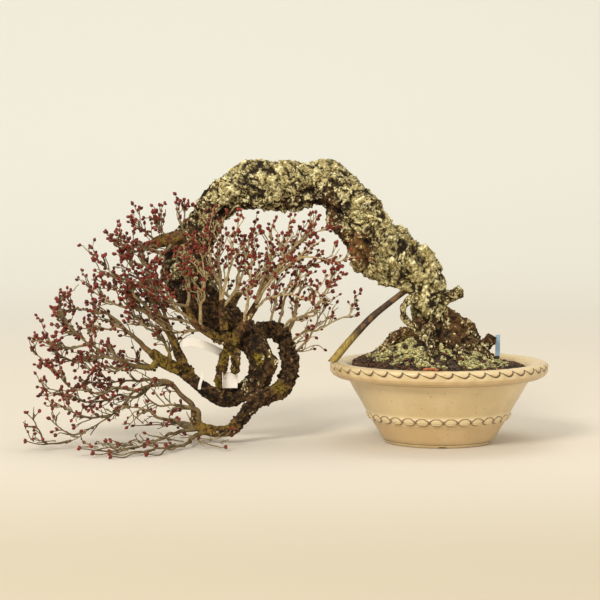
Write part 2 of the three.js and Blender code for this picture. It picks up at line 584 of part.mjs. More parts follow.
function trunkSolids(swell) {
  const stem = { swell, bark: rough };
  const solids = [
    tube(smoothed(TRUNK_ROUTE.map(placed)), SIDES.trunk, { swell, bark: knotty }),
    tube(smoothed(COIL_ROUTE.map(placed)), SIDES.coil, stem),
    tube(smoothed(HUB_ROUTE.map(placed)), SIDES.stem, stem),
    tube(DEADWOOD.map(placed), SIDES.deadwood, { swell }),
    tube(STUMP.map(placed), SIDES.stump, { swell, tip: 0.05 }),
  ];
  for (const route of [HUB_STUB, KNOB, ...ROOTS, ...LIMB_FORKS]) {
    solids.push(tube(route.map(placed), SIDES.stem, stem));
  }
  return solids;
}

// A shoot tapers from its root to its last point, where it ends in a bud.
function shootPath([radius, route]) {
  const last = route.length - 1;
  return route.map(([x, y, z], i) => {
    const own = radius + (SHOOT_TIP - radius) * (i / last) ** 0.7;
    const { at } = placed([x, y, z, i === last ? Math.max(own, BUD.radius) : own]);
    return { at, radius: own };
  });
}

// A long route keeps every second point.
function thinned(path) {
  if (path.length < 6) return path;
  return path.filter((_, i) => i % 2 === 0 || i === path.length - 1);
}

function budded(path) {
  const last = path.at(-1).at;
  const along = last.clone().sub(path.at(-2).at).normalize();
  const belly = last.clone().addScaledVector(along, BUD.length * BUD.belly);
  return [...path, { at: settle(belly, BUD.radius), radius: BUD.radius }];
}

// Side twigs leave a shoot turn by turn, lean outward from the crown's heart and lift a little.
function twigPaths(shoot, seed, lift) {
  const draw = dice(seed);
  const count = Math.round(pathLength(shoot) / TWIG.spacing);
  const twigs = [];
  for (let i = 0; i < count; i++) {
    const share = TWIG.firstAt + 0.84 * ((i + 0.2 + 0.6 * draw()) / count);
    const { at, along } = alongPath(shoot, share);
    const turn = i * GOLDEN_ANGLE + draw();
    const side = across(along).applyAxisAngle(along, turn);
    const outward = at.clone().sub(CROWN_HEART).normalize();
    const reach = TWIG.reach * (0.55 + 0.75 * draw()) * (1.2 - 0.55 * share);
    const heading = along.clone().multiplyScalar(0.5).addScaledVector(side, 0.8)
      .addScaledVector(outward, 0.3).addScaledVector(UP, lift).normalize();
    const end = at.clone().addScaledVector(heading, reach).addScaledVector(UP, 0.12 * reach);
    twigs.push([{ at, radius: TWIG.root }, { at: settle(end, BUD.radius), radius: TWIG.neck }]);
  }
  return twigs;
}

// Room between the stems of different sprays

const claimed = [];

function claim(owner, path, room = 0) {
  for (let i = 1; i < path.length; i++) {
    claimed.push({
      owner,
      line: new THREE.Line3(path[i - 1].at, path[i].at),
      radius: Math.max(path[i - 1].radius, path[i].radius) + room,
    });
  }
}

function lineGap(a, b) {
  const d1 = a.delta(new THREE.Vector3());
  const d2 = b.delta(new THREE.Vector3());
  const between = a.start.clone().sub(b.start);
  const aa = d1.dot(d1);
  const ee = d2.dot(d2);
  const f = d2.dot(between);
  const c = d1.dot(between);
  const bb = d1.dot(d2);
  const clamp = (value) => THREE.MathUtils.clamp(value, 0, 1);
  const spread = aa * ee - bb * bb;
  let s = spread > 1e-9 ? clamp((bb * f - c * ee) / spread) : 0;
  const t = clamp((bb * s + f) / ee);
  s = clamp((bb * t - c) / aa);
  return a.at(s, new THREE.Vector3()).distanceTo(b.at(t, new THREE.Vector3()));
}

function isClear(owner, path) {
  return path.slice(1).every((point, i) => {
    const line = new THREE.Line3(path[i].at, point.at);
    const own = Math.max(path[i].radius, point.radius);
    return claimed.every((other) => other.owner === owner
      || lineGap(line, other.line) > own + other.radius + TWIG_CLEARANCE);
  });
}

// The tree: trunk and sprays

const TRUNK = "trunk";
const shootsOf = { [TRUNK]: COIL_SHOOTS.map(shootPath) };
for (const [name, { shoots }] of Object.entries(SPRAYS)) shootsOf[name] = shoots.map(shootPath);

claim(TRUNK, smoothed(TRUNK_ROUTE.map(placed)), ROOM.trunk);
for (const route of [COIL_ROUTE, HUB_ROUTE, HUB_STUB, PROP_ROUTE, ...LIMB_FORKS]) {
  claim(TRUNK, route.map(placed), ROOM.stem);
}
for (const [name, { limb }] of Object.entries(SPRAYS)) {
  claim(name, limb.slice(1).map(placed), ROOM.limb);
}
for (const [name, shoots] of Object.entries(shootsOf)) {
  shoots.forEach((path) => claim(name, budded(thinned(path))));
}
for (const { route } of [STEM_LABEL, STUB_LABEL, TIE_STRIP]) {
  claim("labels", route.map((point) => ({ at: seenAt(point), radius: ROOM.label })));
}

function crownSolids(name, seed) {
  const lift = name === "spray_low" ? TWIG.lowLift : TWIG.lift;
  const solids = [];
  shootsOf[name].forEach((path, k) => {
    const stem = thinned(path);
    const sides = path[0].radius > THICK_SHOOT ? SIDES.thickShoot : SIDES.shoot;
    solids.push(tube(budded(stem), sides, { tip: BUD.tip }));
    twigPaths(stem, seed * 100 + k, lift).forEach((twig, i) => {
      const whole = budded(twig);
      if (i % 2 || !isClear(name, whole)) return;
      claim(name, whole);
      solids.push(tube(whole, SIDES.shoot, { tip: BUD.tip }));
    });
  });
  return solids;
}

const wideShoots = shootsOf[TRUNK].map((path) => tube(thinned(path), SIDES.thickShoot, { swell: FIT }));
const wideTrunk = joined([...trunkSolids(FIT), ...wideShoots]);
const trunkShape = mainBody(joined([...trunkSolids(0), ...crownSolids(TRUNK, 1)]));

function sprayShape(name, seed) {
  const limb = tube(SPRAYS[name].limb.map(placed), SIDES.limb, { bark: rough });
  return mainBody(joined([limb, ...crownSolids(name, seed)]).subtract(wideTrunk));
}

// Prop, labels

const RIM_ROOM = 80;

// The stick's foot is cut level and stands on the rim.
function propShape() {
  const stick = tube(smoothed(PROP_ROUTE.map(placed)), SIDES.prop, { bark: rough });
  const [x, y] = PROP_ROUTE[0];
  const rimRoom = new THREE.BoxGeometry(RIM_ROOM, RIM_ROOM, RIM_ROOM);
  rimRoom.translate(x, y, POT_HEIGHT + FIT - RIM_ROOM / 2);
  return mainBody(stick.subtract(solid(rimRoom)).subtract(wideTrunk));
}

// A strip of even thickness: its middle line runs along a route, and its wide side follows the edge.
function strip(points, edge, width, thickness) {
  const rows = points.map((at, i) => {
    const ahead = points[Math.min(i + 1, points.length - 1)];
    const along = ahead.clone().sub(points[Math.max(i - 1, 0)]).normalize();
    const face = new THREE.Vector3().crossVectors(along, edge).normalize();
    return [[-1, -1], [1, -1], [1, 1], [-1, 1]].map(([u, v]) => at.clone()
      .addScaledVector(edge, u * width / 2).addScaledVector(face, v * thickness / 2));
  });
  return solid(skin([[points[0]], ...rows, [points.at(-1)]]));
}

function paperLabel({ route, height }) {
  return strip(route.map(seenAt), UP, height, LABEL_THICKNESS).subtract(wideTrunk);
}

function tieStrip() {
  return strip(TIE_STRIP.route.map(seenAt), new THREE.Vector3(1, 0, 0), TIE_STRIP.width, LABEL_THICKNESS)
    .subtract(wideTrunk);
}

function soilLabelBox(room) {
  const { x, y, low, high, width, thickness, turn } = SOIL_LABEL;
  const box = new THREE.BoxGeometry(width + 2 * room, thickness + 2 * room, high - low + 2 * room);
  return solid(box.rotateZ(turn).translate(x, y, (low + high) / 2));
}

// The assembly

const group = new THREE.Group();

function addPart(name, shape, material) {
  const part = new THREE.Mesh(toGeometry(shape), material);
  part.name = name;
  group.add(part);
}

const soilShape = solid(soilMound()).subtract(wideTrunk).subtract(soilLabelBox(FIT));

addPart("pot", pot(), creamGlaze);
for (let k = 0; k < DRAIN_HOLES.count; k++) addPart(`drain_screen_${k + 1}`, drainScreen(k), screenMesh);
addPart("soil", mainBody(soilShape), soilGrain);
addPart(TRUNK, trunkShape, lichenBark);
Object.keys(SPRAYS).forEach((name, i) => addPart(name, sprayShape(name, i + 2), twigBark));
addPart("prop_stick", propShape(), stickBark);
addPart("stem_label", mainBody(paperLabel(STEM_LABEL)), plainPaper);
addPart("stub_label", mainBody(paperLabel(STUB_LABEL)), plainPaper);
addPart("tie_strip", mainBody(tieStrip()), plainPaper);
addPart("soil_label", soilLabelBox(0), paleBlue);

export default group;
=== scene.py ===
"""A Japanese apricot bonsai in winter bud, trained as a cascade, in its round cream pot.

Lengths are millimetres until a mesh is made, X to the right, Y to the back, Z up.
"""
import math

import bmesh
import bpy
import numpy as np
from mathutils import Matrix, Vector


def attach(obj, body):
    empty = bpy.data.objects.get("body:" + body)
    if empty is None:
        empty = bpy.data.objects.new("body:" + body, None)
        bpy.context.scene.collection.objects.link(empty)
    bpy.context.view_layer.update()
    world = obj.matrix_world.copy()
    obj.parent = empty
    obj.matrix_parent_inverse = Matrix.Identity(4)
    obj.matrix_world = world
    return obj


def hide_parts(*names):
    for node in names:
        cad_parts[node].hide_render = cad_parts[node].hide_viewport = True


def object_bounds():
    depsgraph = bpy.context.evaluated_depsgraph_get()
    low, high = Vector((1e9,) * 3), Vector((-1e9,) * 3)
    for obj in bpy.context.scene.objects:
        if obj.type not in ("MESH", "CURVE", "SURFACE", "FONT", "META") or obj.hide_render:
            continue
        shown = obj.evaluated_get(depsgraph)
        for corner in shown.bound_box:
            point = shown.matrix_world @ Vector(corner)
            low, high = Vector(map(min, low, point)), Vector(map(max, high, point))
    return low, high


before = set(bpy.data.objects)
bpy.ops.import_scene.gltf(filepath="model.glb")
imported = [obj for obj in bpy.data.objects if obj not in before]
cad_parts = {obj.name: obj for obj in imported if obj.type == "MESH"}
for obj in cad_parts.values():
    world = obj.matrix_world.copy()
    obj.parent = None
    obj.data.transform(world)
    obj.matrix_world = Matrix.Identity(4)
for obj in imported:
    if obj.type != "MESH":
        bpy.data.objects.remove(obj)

cad_box = [list(corner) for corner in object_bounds()]

MM = 0.001
UP = np.array([0.0, 0.0, 1.0])
TURN = 2 * math.pi

# The view and the routes share one eye point: a route is drawn in the front elevation seen from it.
EYE = np.array([-208.5, -2850.0, 406.0])
AIM = np.array([-208.5, 0.0, 213.0])
LENS_MM = 114.24
SENSOR_MM = 36.0

# Wood that reaches the floor rests this far over it, and settles over the height above
FLOOR_GAP = 0.9
SETTLE = 22.0

# A direction is steep from this share of up, a tube starts with a bulge of this share of its radius, and
# every point keeps a hair inside the box of the fixed frame
STEEP_SHARE = 0.8
BLUNT_START = 0.4
BOX_HAIR = 0.05

# Twigs head away from the crown's heart and turn round their shoot by the golden angle, in radians
CROWN_HEART = np.array([-345.0, 0.0, 160.0])
GOLDEN_ANGLE = 2.399963

# Shoots and twigs: spacings, radii at the root and tip, the size and amount of their bends, short spurs,
# the lift of twigs in the crown and low down, the height under which only one set of twigs grows, and
# the stretches over which inner and low stems are painted darker as painted shade
SHOOT_STEP = 3.2
SHOOT_TIP = 1.2
SHOOT_BEND = 3.4
SHOOT_BEND_SIZE = 16.0
SHOOT_SIDES = 8
THIN_TIP = 0.75
TWIG_SPACING = 23.0
TWIG_REACH = 37.0
TWIG_ROOT = 0.9775
TWIG_TIP = 0.595
TWIG_STEP = 4.5
TWIG_BEND = 2.6
TWIG_BEND_SIZE = 9.0
TWIG_SIDES = 5
SPUR_CHANCE = 0.3
SPUR_REACH = (7, 19)
CROWN_LIFT = 0.42
LOW_LIFT = 0.12
LOW_ROOT = 32
INNER_STEMS_X = (-330, -420)
LOW_STEMS_Z = (130, 60)

# Buds: size, spacings on twigs and on crowded shoots, the chance from which shoots are crowded, the
# stretches over which the chance changes, and the widths of one bud at heights along it, both as shares
BUD_RADIUS = 2.6
BUD_LENGTH = 6.4
BUD_SIZES = (0.82, 1.12)
BUD_SPACING = 7.5
CLUSTER_SPACING = 14
CROWDED = 0.34
UPPER_CROWN_Z = (196, 222)
FAR_TIPS_X = (-440, -500)
LOW_TWIGS_Z = (90, 50)
FLOOR_TWIGS_Z = (48, 20)
BUD_SIDES = 6
BUD_HEIGHTS = [0.03, 0.2, 0.42, 0.66, 0.87]
BUD_WIDTHS = [0.34, 0.82, 1.0, 0.86, 0.44]
BUD_PLUMP = 0.92

# Sets of side twigs on each shoot: what is added to the seed, and the share of the full reach; an open
# spray has two sets, a full one four, and the others three
TWIG_SETS = [(0, 1.0), (50, 0.85), (70, 0.5), (90, 0.7)]
OPEN_SPRAYS = ("spray_hub_right", "spray_hub_up")
FULL_SPRAYS = ("spray_upper_left", "spray_left", "spray_shoulder")

# Pot's section: radius, height and the rows up to the next point, from the edge of the foot's underside
# up the wall, over the rim and down the inside to the floor's edge
POT_PROFILE = [
    (79, 0, 2), (81.5, 1.2, 3), (83.4, 4.2, 2), (82.7, 5.0, 2), (84.2, 5.8, 5),
    (100.2, 33.0, 14), (104.3, 40.0, 10), (108.6, 47.5, 13), (136.3, 95.4, 3), (139.5, 97.0, 5),
    (153.5, 99.2, 5), (159.5, 102.6, 5), (162.3, 107.0, 16), (162.5, 116.5, 5), (160.6, 120.0, 4),
    (157.0, 121.4, 4), (148.0, 121.2, 3), (141.0, 119.2, 3), (137.2, 115.8, 3), (129.0, 96.0, 4),
    (79.0, 14.4, 2), (75.0, 11.0, 0),
]
POT_SIDES = 756
POT_TOP = 121.6
FOOT_CREASE = 5.0
LIP_CREASE = 97.6
SHARP_DEGREES = 48

# Belt of pressed lobes: heights, how far it stands out, the scallops' drop and the size of each dome
BELT_LOBES = 32
BELT_FROM = 30
BELT_TO = 49
BELT_LOW = 35.2
BELT_HIGH = 47.5
BELT_PROUD = 4.2
SCALLOP = 4.6
DOME_HALF_WIDTH = 0.46
DOME_HALF_HEIGHT = 6.2

# Lobed rim: where it starts, its widest radius, the rows over that which are still outside, and the
# groove under each pad: its lowest height, its rise, and the share of the lobe where it is lowest
RIM_LOBES = 42
RIM_FROM = 106
RIM_WIDEST = 162.4
ROWS_OVER_RIM = 12
RIM_GROOVE_LOW = 111.6
RIM_GROOVE_RISE = 7.6
RIM_GROOVE_FOLD = 0.36

# Drain holes and the grooves from them over the underside; each hole is this share into its third
DRAIN_HOLES = 3
DRAIN_TURN = 0.25
DRAIN_FROM_AXIS = 32.0
DRAIN_RADIUS = 8.0
DRAIN_GROOVE_HALF_WIDTH = 5.5
DRAIN_GROOVE_DEPTH = 2.2
FLOOR_TOP = 11.0

# Soil: the mound under the trunk's base, and its underside as radius and height
SOIL_EDGE_RADIUS = 130.5
SOIL_EDGE_HEIGHT = 113.5
SOIL_MOUND = 50.0
SOIL_MOUND_AT = (-22.0, 6.0)
SOIL_SPREAD = 80.0
SOIL_UNDERSIDE = [(4, 12.5), (72, 12.5), (75.6, 15), (128.5, 96)]
SOIL_SIDES = 300
SOIL_ROWS = 120
SOIL_CRUMB = 4.6

# Moss on the mound: strength of each patch, x, y of its middle, reach in x and in y
MOSS_PATCHES = [(1.0, -66, -44, 52, 66), (0.9, 46, -40, 50, 60), (0.8, -10, 70, 80, 36)]
MOSS_SIDES = 380
MOSS_UNDER = 7
MOSS_TUFT = 5.0

# Loose things on the soil: how many, the ring that holds them, smallest and largest radius
LOOSE_CRUMBS = 4200
CRUMB_RING = (20, 129)
CRUMB_SIZES = (1.1, 2.6)
LOOSE_TUFTS = 6000
TUFT_RING = (15, 126)
TUFT_SIZES = (1.0, 2.5)

# Red-brown granules near the front edge: x, y, z, radius
RED_GRANULES = [
    [-26, -112, 119.6, 5.2], [-19, -113, 120.4, 6.0], [-12, -113, 119.4, 4.8],
    [66, -104, 117.4, 3.2], [78, -96, 117.2, 2.8], [58, -108, 117.0, 2.4],
]

# Trunk, from the soil over the arch and down to the first limb: x, y, z, radius
TRUNK_ROUTE = [
    [2, 0, 100, 44], [-2, 0, 132, 43], [-5, 0, 160, 36], [-10, 0, 186, 31], [-14, 0, 213, 29.5],
    [-21, -2, 238, 32], [-40, -3, 259, 36], [-62, -4, 271, 41], [-86, -5, 290, 43], [-109, -4, 316, 40],
    [-127, -2, 345, 40], [-146, 0, 374, 36], [-174, 2, 390, 36], [-207, 4, 388, 37.5], [-244, 6, 385, 39.5],
    [-274, 8, 383, 38], [-303, 10, 378, 34], [-329, 14, 364, 30], [-346, 20, 342, 27], [-362, 24, 315, 29],
    [-376, 28, 288, 33], [-381, 30, 258, 35], [-368, 28, 228, 33], [-344, 24, 201, 30], [-316, 16, 180, 27],
    [-291, 4, 160, 24], [-273, -8, 138, 21], [-266, -8, 114, 19], [-272, -2, 92, 16.5], [-291, 4, 74, 15.5],
    [-320, 8, 66, 14], [-346, 8, 75, 12], [-369, 6, 93, 11], [-390, 2, 107, 10],
]

# Swellings and hollows of the trunk: x, y, z of the middle, growth, reach
TRUNK_LUMPS = [
    [-118, -6, 268, 6, 15], [-164, -4, 332, 7, 13], [-288, 0, 424, 5, 12], [-340, 8, 392, 4, 12],
    [-150, 4, 412, 3, 12], [-94, 0, 362, 5, 14], [-330, -6, 300, 8, 20], [-210, -30, 372, -6, 16],
    [-20, -34, 200, 6, 18], [-392, 20, 230, 6, 18], [-244, -8, 122, 9, 9],
]

# Cavities in the old wood, sunk in and painted near black as painted shade: x, y, z of the mouth, depth,
# reach
CAVITIES = [
    [-160, -34, 340, 13, 11], [-157, -32, 322, 10, 8], [-140, -38, 352, 5, 7], [-26, -34, 178, 9, 8],
    [-300, -36, 362, 6, 8], [-112, -36, 300, 5, 7], [-2, -38, 166, 8, 9], [-322, 0, 344, 6, 9],
]

# Places on the trunk with a look of their own: x, y, z of the middle, reach
# The shaded spot has lichen kept off, so its dark bark is painted shade.
SHADED_SPOT = (-164, -28, 346, 19)
WORN_SPOT = (-118, -38, 286, 22)
LICHEN_SPOT = (-40, -30, 240, 42)
MOSS_SPOTS = [
    (-412, -6, 126, 16), (-392, -4, 116, 12), (-428, -8, 298, 8), (-352, -28, 20, 10),
    (-436, -12, 120, 12), (-306, -24, 104, 7), (-274, -34, 124, 9), (-240, -22, 84, 8),
]

# Stretches of the trunk, from where a look begins to where it is full: the arch's crest, the old lower
# end, the foot with its flutes, and the left part
CREST_Z = (345, 405)
OLD_END_X = (-215, -262)
OLD_END_Z = (262, 205)
FOOT_X = (-120, -80)
FOOT_Z = (200, 172)
LEFT_PART_X = (-310, -350)

# Old bark's plates, the drop of the arch's crest, and how it closes in on the box's top
OLD_PLATE = 8.5
CREST_DROP = 4.0
TOP_ROOM = 5.0
TOP_GAP = 0.1

# Coiled dark limb that leaves the trunk's lower end, turns back and runs on to the low spray
COIL_ROUTE = [
    [-286, 4, 153, 15], [-266, 16, 168, 14], [-244, 24, 166, 13.5], [-230, 26, 148, 13.5],
    [-225, 22, 123, 13.5], [-226, 8, 96, 13.5], [-238, -10, 76, 13], [-260, -25, 68, 12.5],
    [-279, -30, 56, 12], [-294, -30, 38, 10.5], [-304, -30, 22, 9.8],
]

# Shorter woody parts that are one piece with the trunk
HUB_ROUTE = [[-327, 4, 74, 9], [-327, -14, 102, 8.5], [-322, -24, 128, 8], [-312, -30, 150, 8.5]]
HUB_STUB = [[-312, -28, 146, 8], [-305, -27, 124, 7.8], [-306, -24, 104, 7.5]]
LIMB_FORKS = [
    [[-316, -32, 148, 7.6], [-336, -41, 157, 7]],
    [[-314, -31, 148, 7], [-323, -41, 171, 6.2]],
    [[-311, -31, 148, 7.6], [-301, -34, 165, 7.3]],
    [[-374, 5, 96, 9.5], [-386, -11, 121, 8]],
]
KNOB = [[-8, -6, 214, 11], [18, -8, 220, 9.5], [33, -9, 226, 9]]
DEADWOOD = [
    [-28, -24, 219, 8], [-46, -29, 212, 6.5], [-53, -31, 200, 5], [-52, -31, 188, 5], [-42, -29, 176, 6],
    [-28, -26, 164, 7],
]
STUMP = [[58, 2, 132, 11], [72, 0, 146, 9.5], [80, 0, 160, 9]]
ROOTS = [
    [[-24, -14, 172, 15], [-50, -20, 163, 11], [-67, -24, 155, 10], [-81, -26, 138, 7], [-98, -28, 118, 5]],
    [[6, -8, 192, 12], [30, -10, 182, 11], [45, -8, 170, 10], [55, -6, 152, 10], [66, -6, 140, 8],
     [84, -8, 120, 7]],
    [[8, -6, 178, 17], [26, -9, 160, 18], [40, -9, 138, 19], [50, -9, 116, 18]],
    [[-16, -30, 166, 12], [-20, -48, 156, 7], [-12, -62, 144, 6], [-14, -76, 130, 5]],
    [[12, -30, 158, 13], [26, -54, 142, 9], [34, -78, 122, 6]],
    [[-14, 32, 160, 14], [-34, 56, 142, 9], [-48, 82, 120, 6]],
    [[18, 30, 158, 14], [40, 54, 140, 9], [60, 76, 120, 6]],
]

# Shoots that rise straight from the coiled limb: radius at the root, then route points x, y, z
COIL_SHOOTS = [
    [4, [[-234, 26, 156], [-222, 26, 174], [-214, 24, 194], [-213, 22, 214], [-208, 18, 236],
         [-206, 14, 254], [-192, 10, 264], [-176, 6, 270], [-160, 2, 274]]],
    [2.4, [[-243, 24, 166], [-237, 34, 194], [-230, 42, 214], [-220, 50, 232], [-213, 58, 252],
           [-210, 66, 272]]],
    [2.2, [[-254, 20, 170], [-249, 10, 192], [-246, 4, 213], [-246, 0, 237], [-240, -2, 258]]],
    [2.8, [[-240, 25, 162], [-219, 14, 183], [-198, 4, 189], [-186, -2, 194], [-176, -8, 213],
           [-166, -12, 236], [-159, -16, 258]]],
    [2.4, [[-228, 26, 146], [-210, 24, 159], [-195, 20, 166], [-182, 16, 166], [-160, 10, 180],
           [-138, 4, 189], [-126, 0, 204]]],
    [1.8, [[-225, 24, 138], [-213, 20, 148], [-202, 16, 152]]],
    [2.8, [[-225, 26, 120], [-213, 50, 135], [-196, 68, 156], [-182, 82, 180], [-172, 92, 207]]],
]

